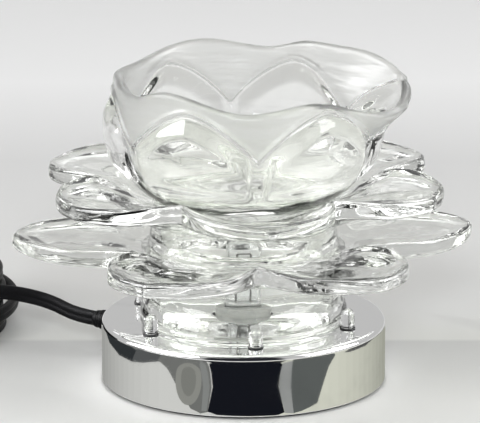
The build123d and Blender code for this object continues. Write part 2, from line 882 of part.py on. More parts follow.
# Plug: a moulded body with a tapered neck and two flat blades
plug_axis = heading(tail_headings[-1])
neck_plane = Plane(
    origin=tail_route[-1], x_dir=heading(tail_headings[-1] + 90), z_dir=plug_axis
)
body_plane = neck_plane.offset(plug_neck_length)
face_plane = body_plane.offset(plug_length)
blade_places = [(-blade_half_pitch, 0), (blade_half_pitch, 0)]
with BuildPart() as plug_body:
    with BuildSketch(body_plane):
        RectangleRounded(plug_width, plug_thick, plug_edge)
    extrude(amount=plug_length)
    with BuildSketch(neck_plane):
        Circle(plug_neck_radius)
    with BuildSketch(body_plane):
        Circle(plug_neck_end)
    loft()
    with BuildSketch(face_plane):
        with Locations(*blade_places):
            Rectangle(blade_thick, blade_width)
    extrude(amount=-blade_seat, mode=Mode.SUBTRACT)
save(plug_body.part, "plug_body")

with BuildPart() as plug_blades:
    with BuildSketch(face_plane.offset(-blade_seat)):
        with Locations(*blade_places):
            Rectangle(blade_thick, blade_width)
    extrude(amount=blade_seat + blade_length)
save(plug_blades.part, "plug_blades")

# Glass foot ring: stands on the chrome inside the pegs, open over the lamp
foot_bottom = base_top + seat_gap
with BuildPart() as glass_foot:
    with BuildSketch(Plane.XY.offset(foot_bottom)):
        Circle(foot_radius)
        Circle(foot_radius - foot_wall, mode=Mode.SUBTRACT)
    extrude(amount=foot_top - foot_bottom)
    fillet(glass_foot.edges().group_by(Axis.Z)[0], radius=foot_edge)
save(glass_foot.part, "glass_foot")


def petal_outline(reach, notch, side, side_angle, first_tip):
    """Plan of a flower: round petals, each two arcs that meet at its tip."""
    with BuildLine() as outline:
        for index in range(petal_count):
            tip = first_tip + index * petal_step
            for side_way in (-1, 1):
                ends = [
                    polar(notch, tip + side_way * petal_step / 2),
                    polar(side, tip + side_way * side_angle),
                    polar(reach, tip),
                ]
                ThreePointArc(*ends[::-side_way])
    return outline.edges()


# Lower flower: six broad petals with thick edges, flat where it is seated
with BuildPart() as petals_lower:
    with BuildSketch(Plane.XZ):
        with BuildLine():
            Polyline(
                (lower_hole, foot_top),
                (foot_radius, foot_top),
                (lower_notch, lower_under),
                (lower_reach + overrun, lower_rim_top - lower_rim_thick),
                (lower_reach + overrun, lower_rim_top),
                (lower_notch, lower_rim_top - lower_rise),
                (foot_radius, lower_floor_top),
                (lower_hole, lower_floor_top),
                close=True,
            )
        make_face()
    revolve(axis=Axis.Z)
    with BuildSketch():
        first_tip = front + petal_step / 2
        make_face(
            petal_outline(lower_reach, lower_notch, lower_side, lower_side_angle, first_tip)
        )
    extrude(amount=lower_rim_top + overrun, mode=Mode.INTERSECT)
save(petals_lower.part, "petals_lower")

# Upper flower: turned half a petal, dished to hold the bowl, on a neck of its own
upper_floor_bottom = upper_floor_top - upper_floor_thick
with BuildPart() as petals_upper:
    with BuildSketch(Plane.XZ):
        with BuildLine():
            Polyline(
                (upper_hole, upper_floor_bottom),
                (upper_neck_radius - upper_neck_wall, upper_floor_bottom),
                (upper_neck_radius - upper_neck_wall, lower_floor_top),
                (upper_neck_radius, lower_floor_top),
                (upper_neck_radius, upper_floor_bottom),
                (upper_shoulder, upper_rim_top - upper_shoulder_drop - upper_rim_thick),
                (upper_reach + overrun, upper_rim_top - upper_rim_thick),
                (upper_reach + overrun, upper_rim_top),
                (upper_shoulder, upper_rim_top - upper_shoulder_drop),
                (upper_floor_radius, upper_floor_top),
                (upper_hole, upper_floor_top),
                close=True,
            )
        make_face()
    revolve(axis=Axis.Z)
    with BuildSketch(Plane.XY.offset(lower_floor_top)):
        make_face(
            petal_outline(upper_reach, upper_notch, upper_side, upper_side_angle, front)
        )
    extrude(amount=upper_rim_top, mode=Mode.INTERSECT)
save(petals_upper.part, "petals_upper")

# Dish: a thick bowl with six relief petals outside and a waved rim, lifts off
dish_bottom = upper_floor_top + seat_gap
bowl_radius = dish_belly_radius - dish_wall
wall_height = dish_rim_top - dish_belly_z
relief_radius = dish_belly_radius + relief_out
with BuildPart() as relief_petal:
    with BuildSketch(Plane.XZ):
        with BuildLine():
            ThreePointArc(
                (dish_low_radius, dish_low_z),
                (relief_low_radius, relief_low_z),
                (relief_radius, relief_belly_z),
            )
            TangentArc(
                (relief_radius, relief_belly_z), (dish_belly_radius, relief_top), tangent=(0, 1)
            )
            Polyline(
                (dish_belly_radius, relief_top),
                (dish_belly_radius - relief_root, relief_top),
                (dish_belly_radius - relief_root, dish_belly_z),
                (dish_low_radius, dish_low_z),
            )
        make_face()
    revolve(axis=Axis.Z)
    with BuildSketch(Plane.XZ.offset(bowl_radius / 2)):
        with BuildLine():
            ThreePointArc(
                (-relief_half_width, relief_valley),
                (0, relief_top),
                (relief_half_width, relief_valley),
            )
            Polyline(
                (relief_half_width, relief_valley),
                (relief_half_width, dish_bottom),
                (-relief_half_width, dish_bottom),
                (-relief_half_width, relief_valley),
            )
        make_face()
    extrude(amount=dish_belly_radius, mode=Mode.INTERSECT)



def lobe_sections(depth, half_width, top_share):
    """Ellipses of the lobe, from inside the wall up to a share of the wall's height."""
    rises = (*lobe_rise_shares[:-1], top_share)
    for rise, deep, wide in zip(rises, lobe_depth_shares, lobe_width_shares):
        section_plane = Plane(
            origin=polar(lobe_centre, lobe_angle, dish_belly_z + rise * wall_height),
            x_dir=heading(lobe_angle),
            z_dir=(0, 0, 1),
        )
        with BuildSketch(section_plane) as section:
            Ellipse(depth * deep, half_width * wide)
        yield section.sketch


# The bowl and the lobe that leans out of it are solid first, and hollowed together
with BuildPart() as dish_body:
    with BuildSketch(Plane.XZ):
        with BuildLine():
            Line((0, dish_bottom), (dish_foot_radius, dish_bottom))
            ThreePointArc(
                (dish_foot_radius, dish_bottom),
                (dish_low_radius, dish_low_z),
                (dish_belly_radius, dish_belly_z),
            )
            Polyline(
                (dish_belly_radius, dish_belly_z),
                (dish_rim_radius, dish_rim_top),
                (0, dish_rim_top),
                (0, dish_bottom),
            )
        make_face()
    revolve(axis=Axis.Z)
    loft(sections=list(lobe_sections(lobe_depth, lobe_half_width, 1)))
    with PolarLocations(0, petal_count, start_angle=petal_step / 2):
        add(relief_petal.part)

cavity_top = dish_rim_top + overrun
with BuildPart() as wax_dish:
    add(dish_body.part)
    with BuildSketch(Plane.XZ):
        with BuildLine():
            Line((0, cavity_top), (dish_rim_radius - dish_wall, cavity_top))
            Polyline(
                (dish_rim_radius - dish_wall, cavity_top),
                (dish_rim_radius - dish_wall, dish_rim_top),
                (bowl_radius, dish_belly_z),
            )
            ThreePointArc(
                (bowl_radius, dish_belly_z),
                (dish_low_radius - dish_wall / sqrt(2), dish_low_z + dish_wall / sqrt(2)),
                (dish_foot_radius - dish_wall, dish_bottom + dish_floor_thick),
            )
            Polyline(
                (dish_foot_radius - dish_wall, dish_bottom + dish_floor_thick),
                (0, dish_bottom + dish_floor_thick),
                (0, cavity_top),
            )
        make_face()
    revolve(axis=Axis.Z, mode=Mode.SUBTRACT)
    loft(
        sections=list(
            lobe_sections(lobe_depth - dish_wall, lobe_half_width - dish_wall, lobe_top_share)
        ),
        mode=Mode.SUBTRACT,
    )
    for index in range(petal_count):
        wave_plane = Plane(
            origin=(0, 0, dish_rim_top - wave_depth + wave_radius),
            z_dir=heading(front + index * petal_step),
        )
        with BuildSketch(wave_plane):
            Circle(wave_radius)
        extrude(amount=lobe_centre + lobe_depth + overrun, mode=Mode.SUBTRACT)
save(wax_dish.part, "wax_dish")
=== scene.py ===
from math import asin, atan2, copysign, cos, degrees, exp, hypot, pi, radians, sin, sqrt

import bmesh
import bpy
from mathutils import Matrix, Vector
from mathutils.geometry import tessellate_polygon


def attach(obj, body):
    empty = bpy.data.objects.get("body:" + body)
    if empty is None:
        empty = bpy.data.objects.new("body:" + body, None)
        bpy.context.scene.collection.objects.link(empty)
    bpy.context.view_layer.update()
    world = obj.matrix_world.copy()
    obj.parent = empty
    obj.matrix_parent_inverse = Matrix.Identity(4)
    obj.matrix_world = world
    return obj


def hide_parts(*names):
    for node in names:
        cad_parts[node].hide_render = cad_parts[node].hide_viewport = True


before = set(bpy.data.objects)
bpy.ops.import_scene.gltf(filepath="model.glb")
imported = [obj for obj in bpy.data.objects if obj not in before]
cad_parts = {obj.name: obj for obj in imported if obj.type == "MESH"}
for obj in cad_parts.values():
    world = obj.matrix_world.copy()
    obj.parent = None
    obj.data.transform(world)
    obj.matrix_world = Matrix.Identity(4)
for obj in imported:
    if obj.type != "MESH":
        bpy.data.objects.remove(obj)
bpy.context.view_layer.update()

mm = 0.001


# Camera. It stands six degrees to the left of the front and looks down a little on the
# warmer, with a long lens, as the photograph does.
camera_turn = 6
camera_distance = 1440
camera_height = 443
aim_height = 66.6
aim_left = 1.35
camera_right = Vector((cos(radians(camera_turn)), -sin(radians(camera_turn)), 0))
camera_back = Vector((-sin(radians(camera_turn)), -cos(radians(camera_turn)), 0))
camera_aim = Vector((0, 0, aim_height)) - camera_right * aim_left
camera_place = camera_aim + camera_back * camera_distance + Vector((0, 0, camera_height - aim_height))

camera_data = bpy.data.cameras.new("view")
camera_data.lens = 290.3
camera_data.clip_start = 0.05
camera_data.clip_end = 20
camera = bpy.data.objects.new("view", camera_data)
camera.location = camera_place * mm
camera.rotation_euler = (camera_aim - camera_place).to_track_quat("-Z", "Y").to_euler()
bpy.context.scene.collection.objects.link(camera)
bpy.context.scene.camera = camera


# Mains cord. A flat twin cord in near-black soft PVC, moulded in one with a groove down
# its middle. It leaves the base low at the left rear, rises a little in a curve and lies
# in a tied coil of seven turns, four layers high, beside the warmer.
class Flow:
    """A socket in a material. Sums on it add Math nodes, node() adds any other node."""

    def __init__(self, tree, socket=None):
        self.tree = tree
        self.socket = socket

    def node(self, kind, settings=None, sockets=None, out=0):
        """Makes a node: its settings first, then the values or links of its sockets."""
        made = self.tree.nodes.new(kind)
        for name, value in (settings or {}).items():
            if name == "stops":
                for index, (place, colour) in enumerate(value):
                    if index < len(made.color_ramp.elements):
                        stop = made.color_ramp.elements[index]
                        stop.position = place
                    else:
                        stop = made.color_ramp.elements.new(place)
                    stop.color = (*colour, 1)
            else:
                setattr(made, name, value)
        for name, value in (sockets or {}).items():
            if isinstance(value, Flow):
                self.tree.links.new(value.socket, made.inputs[name])
            else:
                made.inputs[name].default_value = value
        return Flow(self.tree, made.outputs[out])

    def maths(self, operation, *values):
        return self.node("ShaderNodeMath", {"operation": operation}, dict(enumerate(values)))

    def __add__(self, other):
        return self.maths("ADD", self, other)

    def __radd__(self, other):
        return self.maths("ADD", other, self)

    def __sub__(self, other):
        return self.maths("SUBTRACT", self, other)

    def __rsub__(self, other):
        return self.maths("SUBTRACT", other, self)

    def __mul__(self, other):
        return self.maths("MULTIPLY", self, other)

    def __rmul__(self, other):
        return self.maths("MULTIPLY", other, self)

    def __truediv__(self, other):
        return self.maths("DIVIDE", self, other)


def place_on(flow, stretch=(1, 1, 1)):
    """Object coordinates, stretched along the axes."""
    spot = flow.node("ShaderNodeTexCoord", out="Object")
    return flow.node("ShaderNodeMapping", sockets={"Vector": spot, "Scale": stretch})


def cloud(flow, spot, size, detail=2.0, lows=0.35, highs=0.65):
    """Soft noise from 0 to 1, its patches about size metres across."""
    noise = flow.node(
        "ShaderNodeTexNoise", sockets={"Vector": spot, "Scale": 1 / size, "Detail": detail}
    )
    return flow.node(
        "ShaderNodeMapRange",
        {"interpolation_type": "SMOOTHSTEP"},
        {"Value": noise, "From Min": lows, "From Max": highs},
    )


def tint(flow, share, low, high):
    """Colour between low and high."""
    return flow.node(
        "ShaderNodeMix", {"data_type": "RGBA"}, {0: share, 6: (*low, 1), 7: (*high, 1)}, out=2
    )


def relief(flow, height, depth, strength=1.0):
    """Normal of a surface whose height goes from 0 to 1 over depth metres."""
    return flow.node(
        "ShaderNodeBump", sockets={"Height": height, "Distance": depth, "Strength": strength}
    )


def new_finish(name, **constants):
    """Material with one shader; constants are set on the shader's own sockets."""
    material = bpy.data.materials.new(name)
    material.use_nodes = True
    shader = material.node_tree.nodes["Principled BSDF"]
    for socket, value in constants.items():
        shader.inputs[socket.replace("_", " ")].default_value = value
    return material, Flow(material.node_tree), shader


def feed(flow, shader, **links):
    for socket, value in links.items():
        flow.tree.links.new(value.socket, shader.inputs[socket.replace("_", " ")])


def soft_black(name, low, high, roughness, grain):
    """Black moulded plastic: a fine matt grain, handling shine and a little dust."""
    material, flow, shader = new_finish(name, IOR=1.5, Specular_IOR_Level=0.09)
    spot = place_on(flow)
    worn = cloud(flow, spot, 0.012)
    skin_grain = cloud(flow, spot, grain, 3.0)
    feed(
        flow, shader,
        Base_Color=tint(flow, worn * 0.7 + skin_grain * 0.3, low, high),
        Roughness=roughness + 0.16 * worn - 0.05 * skin_grain,
        Normal=relief(flow, skin_grain, 0.00004, 0.6),
    )
    return material


def add_piece(name, data, body, slot, *nodes):
    """Puts a finished mesh or curve on its body, in place of the CAD nodes named."""
    piece = bpy.data.objects.new(name, data)
    bpy.context.scene.collection.objects.link(piece)
    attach(piece, body)
    if nodes:
        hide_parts(*nodes)
    return piece


def heading(angle):
    return Vector((cos(radians(angle)), sin(radians(angle)), 0))


def run_step(angle, slope, length):
    return (heading(angle) * cos(radians(slope)) + Vector((0, 0, sin(radians(slope))))) * length


up = Vector((0, 0, 1))
cord_width = 6.0
exit_angle = 146
exit_reach = 64.0
exit_z = 14.8
lead_first_run = 10.8
lead_run = 12.7
lead_last_heading = 204
coil_outer = 41.5
coil_pitch = 7.7
coil_layer = 6.6
coil_stretch = 2.8
half_turn_points = 8
tail_run = 11.5
plug_heading = 240
cord_in_plug = 9
core_offset = 1.15
core_radius = 1.85
core_points = 6
core_lean = 21.2

cord_route = [heading(exit_angle) * exit_reach + up * exit_z]
cord_route.append(cord_route[-1] + run_step(exit_angle, 0, lead_first_run))
for angle, slope in zip((144, 166, 188), (18.5, 12.5, 9.7)):
    cord_route.append(cord_route[-1] + run_step(angle, slope, lead_run))
cord_route.append(cord_route[-1] + run_step(lead_last_heading, 0, lead_first_run))

join_angle = lead_last_heading + 90
coil_top = cord_route[-1].z
coil_join = cord_route[-1] + heading(lead_last_heading) * cord_width
coil_axis = coil_join - heading(join_angle) * coil_outer - up * coil_top
coil_radius = coil_outer
coil_turned = 0
coil_depth = 0
for layer, steps in enumerate(((-1, -1, -1), (1, 1, 1), (-1, -1, -1), (1, 1))):
    for step in (steps if layer == 0 else (0, *steps)):
        for part in range(half_turn_points):
            share = (part + 0.5) / half_turn_points
            fall = (1 - cos(pi * share)) / 2 if step == 0 else 0
            spot_angle = join_angle - coil_turned - 180 * share
            spot_radius = coil_radius + step * coil_pitch / 2 * share
            spot_radius += coil_stretch * cos(radians(spot_angle))
            depth = coil_depth + fall if step == 0 else coil_depth
            cord_route.append(
                coil_axis + heading(spot_angle) * spot_radius + up * (coil_top - depth * coil_layer)
            )
        coil_turned += 180
        coil_radius += step * coil_pitch / 2
        if step == 0:
            coil_depth += 1
tail_start = join_angle - coil_turned - 90
coil_end = (
    coil_axis
    + heading(join_angle - coil_turned) * coil_radius
    + up * (coil_top - coil_depth * coil_layer)
    + heading(tail_start) * cord_width
)
cord_route.append(coil_end)
cord_route.append(coil_end + heading(tail_start) * tail_run)
for angle, slope in zip((216, 228, plug_heading), (5, 10, 0)):
    cord_route.append(cord_route[-1] + run_step(angle, slope, tail_run))
tail_end = cord_route[-1].copy()
cord_route.append(tail_end + heading(plug_heading) * cord_in_plug)

profile_data = bpy.data.curves.new("cord_profile", "CURVE")
profile_line = profile_data.splines.new("POLY")
profile_spots = []
for half in (1, -1):
    for step in range(-core_points, core_points + 1):
        lean = radians(step * core_lean)
        profile_spots.append(
            (half * sin(lean) * core_radius, half * (core_offset + cos(lean) * core_radius))
        )
profile_line.points.add(len(profile_spots) - 1)
for point, (across, height) in zip(profile_line.points, profile_spots):
    point.co = (across * mm, height * mm, 0, 1)
profile_line.use_cyclic_u = True
profile_shape = bpy.data.objects.new("cord_profile", profile_data)

cord_data = bpy.data.curves.new("supply_cord", "CURVE")
cord_data.dimensions = "3D"
cord_data.twist_mode = "Z_UP"
cord_data.bevel_mode = "OBJECT"
cord_data.bevel_object = profile_shape
cord_data.use_fill_caps = True
cord_data.resolution_u = 4
cord_line = cord_data.splines.new("NURBS")
cord_line.points.add(len(cord_route) - 1)
for point, spot in zip(cord_line.points, cord_route):
    point.co = (*(spot * mm), 1)
cord_line.order_u = 3
cord_line.use_endpoint_u = True
cord_line.resolution_u = 4
cord_black = soft_black("cord_black", (0.003, 0.003, 0.0035), (0.007, 0.007, 0.008), 0.36, 0.0006)
cord_data.materials.append(cord_black)
supply_cord = add_piece(
    "supply_cord", cord_data, "base", "cord_black", "cord_lead", "cord_coil", "cord_tail"
)


# Strain relief. A black bush moulded on the cord: a collar behind the wall of the base, a
# flange in front of it, and a tail that tapers down to the cord with rings to let it bend.
def skin(name, rings, material, loop=False, sharp=38):
    """Closed mesh through rings of points in millimetres, in order along the piece."""
    shape = bmesh.new()
    rows = [[shape.verts.new(Vector(spot) * mm) for spot in ring] for ring in rings]
    pairs = list(zip(rows, rows[1:])) + ([(rows[-1], rows[0])] if loop else [])
    for low, high in pairs:
        for index in range(len(low)):
            after = (index + 1) % len(low)
            shape.faces.new((low[index], low[after], high[after], high[index]))
    if not loop:
        shape.faces.new(rows[0])
        shape.faces.new(rows[-1])
    bmesh.ops.remove_doubles(shape, verts=shape.verts, dist=1e-7)
    bmesh.ops.dissolve_degenerate(shape, edges=shape.edges, dist=1e-8)
    bmesh.ops.recalc_face_normals(shape, faces=shape.faces)
    data = bpy.data.meshes.new(name)
    shape.to_mesh(data)
    shape.free()
    data.shade_smooth()
    data.set_sharp_from_angle(angle=radians(sharp))
    data.materials.append(material)
    return data


def ring_about(centre, along, radius, count=40):
    """Points of a circle round an axis."""
    side = along.cross(up).normalized()
    rise = side.cross(along)
    return [
        centre + side * (radius * cos(2 * pi * k / count)) + rise * (radius * sin(2 * pi * k / count))
        for k in range(count)
    ]


exit_way = heading(exit_angle)
bush_ribs = 4
bush_rib_start = 57.6
bush_rib_pitch = 2.1
bush_rib_radius = 4.6
bush_rib_taper = 0.36
bush_sections = [
    (43.9, 3.2), (43.9, 4.2), (44.3, 4.6), (51.8, 4.6), (51.8, 5.4), (53.4, 5.4), (53.4, 4.6),
    (55.1, 4.6), (55.1, 5.5), (55.4, 5.8), (56.6, 5.8), (56.9, 5.5), (57.0, 4.9),
]
for rib in range(bush_ribs):
    start = bush_rib_start + rib * bush_rib_pitch
    radius = bush_rib_radius - rib * bush_rib_taper
    bush_sections += [
        (start, radius - 0.2), (start + 0.5, radius - 0.2), (start + 0.7, radius),
        (start + 1.6, radius - 0.1), (start + 1.8, radius - 0.3),
    ]
bush_sections += [(65.8, 3.2), (66.2, 3.05), (66.2, 2.6)]
relief_black = soft_black("relief_black", (0.0035, 0.0035, 0.004), (0.008, 0.008, 0.009), 0.42, 0.0005)
bush_rings = [
    ring_about(exit_way * reach + up * exit_z, exit_way, radius) for reach, radius in bush_sections
]
add_piece(
    "cord_bush", skin("cord_bush", bush_rings, relief_black), "base", "cord_black", "strain_relief"
)


# Plug. A moulded body with finger grips on its two broad sides and a ribbed neck, in the
# same black plastic, round two flat plated blades.
plug_way = heading(plug_heading)
plug_side = heading(plug_heading + 90)


def plug_ring(along, half_wide, half_tall, power, count=48):
    """Rounded rectangle across the plug."""
    spots = []
    centre = tail_end + plug_way * along
    for k in range(count):
        lean = 2 * pi * k / count
        wide = copysign(abs(cos(lean)) ** power, cos(lean))
        tall = copysign(abs(sin(lean)) ** power, sin(lean))
        spots.append(centre + plug_side * (half_wide * wide) + up * (half_tall * tall))
    return spots


neck_ribs = 5
neck_rib_pitch = 2.6
neck_radius = 4.15
neck_growth = 0.2
neck_groove = 0.7
plug_sections = [(-0.1, 2.9, 2.9, 1.0), (-0.1, 3.9, 3.9, 1.0)]
for rib in range(neck_ribs):
    near = rib * neck_rib_pitch
    crest = neck_radius + rib * neck_growth
    root = crest - neck_groove
    plug_sections += [
        (near + 0.1, crest, crest, 1.0), (near + 1.6, crest + 0.1, crest, 1.0),
        (near + 1.8, root, root, 1.0), (near + 2.4, root, root, 1.0),
    ]
plug_sections += [
    (13.4, 5.2, 4.9, 0.9), (14.2, 8.4, 5.8, 0.6), (15.6, 10.6, 6.4, 0.42), (18.0, 11.7, 6.75, 0.36),
    (22.0, 11.8, 6.8, 0.34), (26.0, 11.0, 6.6, 0.34), (31.0, 10.4, 6.4, 0.34), (36.0, 10.8, 6.55, 0.34),
    (40.0, 11.6, 6.8, 0.34), (45.0, 11.9, 6.85, 0.32), (49.0, 11.9, 6.85, 0.3), (49.8, 11.5, 6.5, 0.3),
    (50.0, 10.9, 6.0, 0.3),
]
plug_rings = [plug_ring(*section) for section in plug_sections]
mains_plug = add_piece(
    "mains_plug", skin("mains_plug", plug_rings, relief_black), "base", "cord_black", "plug_body"
)


# Coil tie. A flat black band of soft plastic drawn round the whole bundle of turns; its
# CAD solid has the real form and gets the finish of the band.
tie_finish = soft_black("tie_black", (0.016, 0.016, 0.017), (0.04, 0.04, 0.04), 0.5, 0.0004)


def dress(node, material):
    """Gives a CAD node that stays its finish."""
    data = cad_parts[node].data
    data.materials.clear()
    data.materials.append(material)


dress("cord_tie", tie_finish)
dress("cord_inner", cord_black)
tuple(cord_route[0] * mm)


# Base plate, pad and posts. The plate is pressed from galvanised sheet and closes the cup
# from below; a ring of dark foam is stuck under it, and three screws hold it to posts
# that are welded inside the cup.
def metal(name, low, high, roughness, grain=0.0012, depth=0.00002, brushed=(1, 1, 1)):
    """Bare or plated metal: tone and gloss drift, with fine marks in the surface."""
    material, flow, shader = new_finish(name, Metallic=1.0)
    drift = cloud(flow, place_on(flow), 0.009)
    marks = cloud(flow, place_on(flow, brushed), grain, 4.0)
    feed(
        flow, shader,
        Base_Color=tint(flow, drift * 0.6 + marks * 0.4, low, high),
        Roughness=roughness + 0.12 * drift + 0.08 * marks,
        Normal=relief(flow, marks, depth, 0.5),
    )
    return material


def plain(name, low, high, roughness, grain=0.0008, depth=0.00004, **constants):
    """Moulded, fired or coated surface: two near tones, a grain and uneven gloss."""
    material, flow, shader = new_finish(name, **constants)
    spot = place_on(flow)
    drift = cloud(flow, spot, grain * 12)
    marks = cloud(flow, spot, grain, 3.0)
    feed(
        flow, shader,
        Base_Color=tint(flow, drift * 0.6 + marks * 0.4, low, high),
        Roughness=roughness + 0.1 * drift + 0.06 * marks,
        Normal=relief(flow, marks, depth, 0.6),
    )
    return material


def dark_foam():
    """Closed foam: small pits in a dark matt sheet."""
    material, flow, shader = new_finish("dark_foam", Roughness=0.9)
    pits = flow.node("ShaderNodeTexVoronoi", sockets={"Vector": place_on(flow), "Scale": 900.0})
    feed(
        flow, shader,
        Base_Color=tint(flow, pits, (0.012, 0.012, 0.013), (0.05, 0.05, 0.05)),
        Normal=relief(flow, pits, 0.0003, 0.8),
    )
    return material


zinc_plate = metal("zinc_plate", (0.42, 0.43, 0.44), (0.62, 0.63, 0.65), 0.32, 0.003)
screw_steel = metal("screw_steel", (0.45, 0.44, 0.42), (0.66, 0.65, 0.63), 0.25, 0.0006)
dress("base_plate", zinc_plate)
dress("foot_pad", dark_foam())
dress("shell_posts", screw_steel)
dress("plate_screws", screw_steel)
dress("peg_push_nuts", screw_steel)
dress("holder_bracket", zinc_plate)
dress("bracket_screws", screw_steel)
dress("terminal_screw", screw_steel)
dress("terminal_nut", screw_steel)


# Base shell. A cup spun from steel sheet with a rolled lower hem, polished and chrome
# plated all over. It is the touch sensor, so its wall and top carry faint finger marks.
def chrome_finish():
    material, flow, shader = new_finish("chrome_shell", Metallic=1.0)
    spot = place_on(flow)
    smears = cloud(flow, spot, 0.018, 3.0, 0.5, 0.75)
    hairlines = cloud(flow, place_on(flow, (1, 1, 14)), 0.0009, 3.0, 0.55, 0.8)
    waves = cloud(flow, place_on(flow, (1, 1, 0.4)), 0.03, 1.0, 0.3, 0.7)
    feed(
        flow, shader,
        Base_Color=tint(flow, smears, (0.9, 0.9, 0.905), (0.82, 0.82, 0.825)),
        Roughness=0.03 + 0.07 * smears + 0.04 * hairlines,
        Normal=relief(flow, waves * 0.8 + hairlines * 0.04, 0.00005, 0.5),
    )
    return material


def turn(reach, height, angle):
    return heading(angle) * reach + up * height


def spun(name, profile, material, steps, sharp=38, loop=True):
    """Mesh spun round the upright axis from a line of radius and height."""
    rings = [[turn(reach, height, 360 * k / steps) for k in range(steps)] for reach, height in profile]
    return skin(name, rings, material, loop, sharp)


def arc_line(centre_r, centre_z, radius, first, last, count):
    """Points of an arc in the profile plane, between two angles in degrees."""
    return [
        (
            centre_r + radius * cos(radians(first + (last - first) * k / count)),
            centre_z + radius * sin(radians(first + (last - first) * k / count)),
        )
        for k in range(count + 1)
    ]


base_radius = 55.0
base_top = 25.0
base_round = 2.2
shell_wall = 1.2
hem_bottom = 1.0
hem_round = 0.7
lamp_hole = 11.8
lamp_hole_round = 0.6
shell_profile = arc_line(base_radius - hem_round, hem_bottom + hem_round, hem_round, -90, 0, 6)
shell_profile += [(base_radius, height) for height in (3.2, 6, 10, 14, 18)]
shell_profile += arc_line(base_radius - base_round, base_top - base_round, base_round, 0, 90, 14)
shell_profile += [(reach, base_top) for reach in (50, 46, 40, 34, 28, 22, 16)]
shell_profile += arc_line(
    lamp_hole + lamp_hole_round, base_top - lamp_hole_round, lamp_hole_round, 90, 180, 5
)
shell_profile += [(reach, base_top - shell_wall) for reach in (lamp_hole, 16, 30, 50)]
shell_profile += arc_line(
    base_radius - base_round, base_top - base_round, base_round - shell_wall, 90, 0, 5
)
shell_profile += [(base_radius - shell_wall, 12), (base_radius - shell_wall, hem_bottom)]
add_piece(
    "base_cup", spun("base_cup", shell_profile, chrome_finish(), 320), "base", "chrome_shell", "base_shell"
)


# Rest pegs. Six clear round-topped pins of moulded plastic stand round the foot of the
# glass, each on a dark washer and held under the cup by a push nut.
def clear_plastic(name):
    material, flow, shader = new_finish(name, IOR=1.49, Transmission_Weight=1.0)
    spot = place_on(flow)
    scuffs = cloud(flow, spot, 0.0012, 3.0, 0.5, 0.8)
    feed(
        flow, shader,
        Base_Color=tint(flow, scuffs, (0.99, 0.99, 0.99), (0.95, 0.96, 0.96)),
        Roughness=0.01 + 0.06 * scuffs,
        Normal=relief(flow, cloud(flow, spot, 0.0025), 0.0001, 0.4),
    )
    return material


def ring_of(name, shape, count, ring_radius, foot, start, material):
    """Places one shape round the axis with Geometry Nodes and returns the plain mesh."""
    tree = bpy.data.node_groups.new(name, "GeometryNodeTree")
    face = tree.interface
    face.new_socket("Shape", in_out="INPUT", socket_type="NodeSocketGeometry")
    inputs = {
        "Count": ("NodeSocketInt", count),
        "Ring radius": ("NodeSocketFloat", ring_radius * mm),
        "Foot height": ("NodeSocketFloat", foot * mm),
        "Start angle": ("NodeSocketFloat", radians(start)),
        "Finish": ("NodeSocketMaterial", material),
    }
    keys = {}
    for label, (kind, _) in inputs.items():
        keys[label] = face.new_socket(label, in_out="INPUT", socket_type=kind).identifier
    face.new_socket("Pieces", in_out="OUTPUT", socket_type="NodeSocketGeometry")

    def part(kind, links, **settings):
        made = tree.nodes.new(kind)
        for setting, value in settings.items():
            setattr(made, setting, value)
        for socket, value in links.items():
            if isinstance(value, bpy.types.NodeSocket):
                tree.links.new(value, made.inputs[socket])
            else:
                made.inputs[socket].default_value = value
        return made

    entry = tree.nodes.new("NodeGroupInput").outputs
    circle = part(
        "GeometryNodeMeshCircle", {"Vertices": entry["Count"], "Radius": entry["Ring radius"]}
    )
    lift = part("ShaderNodeCombineXYZ", {"Z": entry["Foot height"]})
    swing = part("ShaderNodeCombineXYZ", {"Z": entry["Start angle"]})
    placed = part(
        "GeometryNodeTransform",
        {"Geometry": circle.outputs["Mesh"], "Translation": lift.outputs[0], "Rotation": swing.outputs[0]},
    )
    copies = part(
        "GeometryNodeInstanceOnPoints", {"Points": placed.outputs[0], "Instance": entry["Shape"]}
    )
    solid = part("GeometryNodeRealizeInstances", {"Geometry": copies.outputs[0]})
    coated = part(
        "GeometryNodeSetMaterial", {"Geometry": solid.outputs[0], "Material": entry["Finish"]}
    )
    part("NodeGroupOutput", {"Pieces": coated.outputs[0]})

    source = bpy.data.objects.new(name, shape)
    bpy.context.scene.collection.objects.link(source)
    step = source.modifiers.new("ring", "NODES")
    step.node_group = tree
    for label, (_, value) in inputs.items():
        step[keys[label]] = value
    ready = source.evaluated_get(bpy.context.evaluated_depsgraph_get())
    data = bpy.data.meshes.new_from_object(ready)
    source.modifiers.clear()
    bpy.data.objects.remove(source)
    data.materials.clear()
    data.materials.append(material)
    return data


front = -90
peg_count = 6
peg_circle = 43.6
peg_sides = 28
peg_radius = 2.6
washer_thick = 0.5
peg_finish = clear_plastic("peg_clear")
peg_line = [(0, -4.9), (1.4, -4.9), (1.4, 0), (2.3, 0), (peg_radius, 0.3), (2.65, 0.9), (peg_radius, 4.6)]
peg_line += arc_line(0, 4.8, peg_radius, 0, 90, 9)
peg_shape = spun("peg_shape", peg_line, peg_finish, peg_sides, loop=False)
add_piece(
    "rest_pegs",
    ring_of("rest_pegs", peg_shape, peg_count, peg_circle, base_top + washer_thick, front, peg_finish),
    "base", "peg_clear", *[f"rest_peg_{number + 1}" for number in range(peg_count)],
)
washer_finish = plain("dark_washer", (0.02, 0.021, 0.022), (0.045, 0.045, 0.046), 0.38)
washer_line = arc_line(2.75, 0.28, 0.24, -90, 90, 5) + [(1.62, washer_thick), (1.62, 0.04)]
washer_shape = spun("washer_shape", washer_line, washer_finish, peg_sides)
add_piece(
    "washers", ring_of("washers", washer_shape, peg_count, peg_circle, base_top, front, washer_finish),
    "base", "dark_washer", "peg_washers",
)


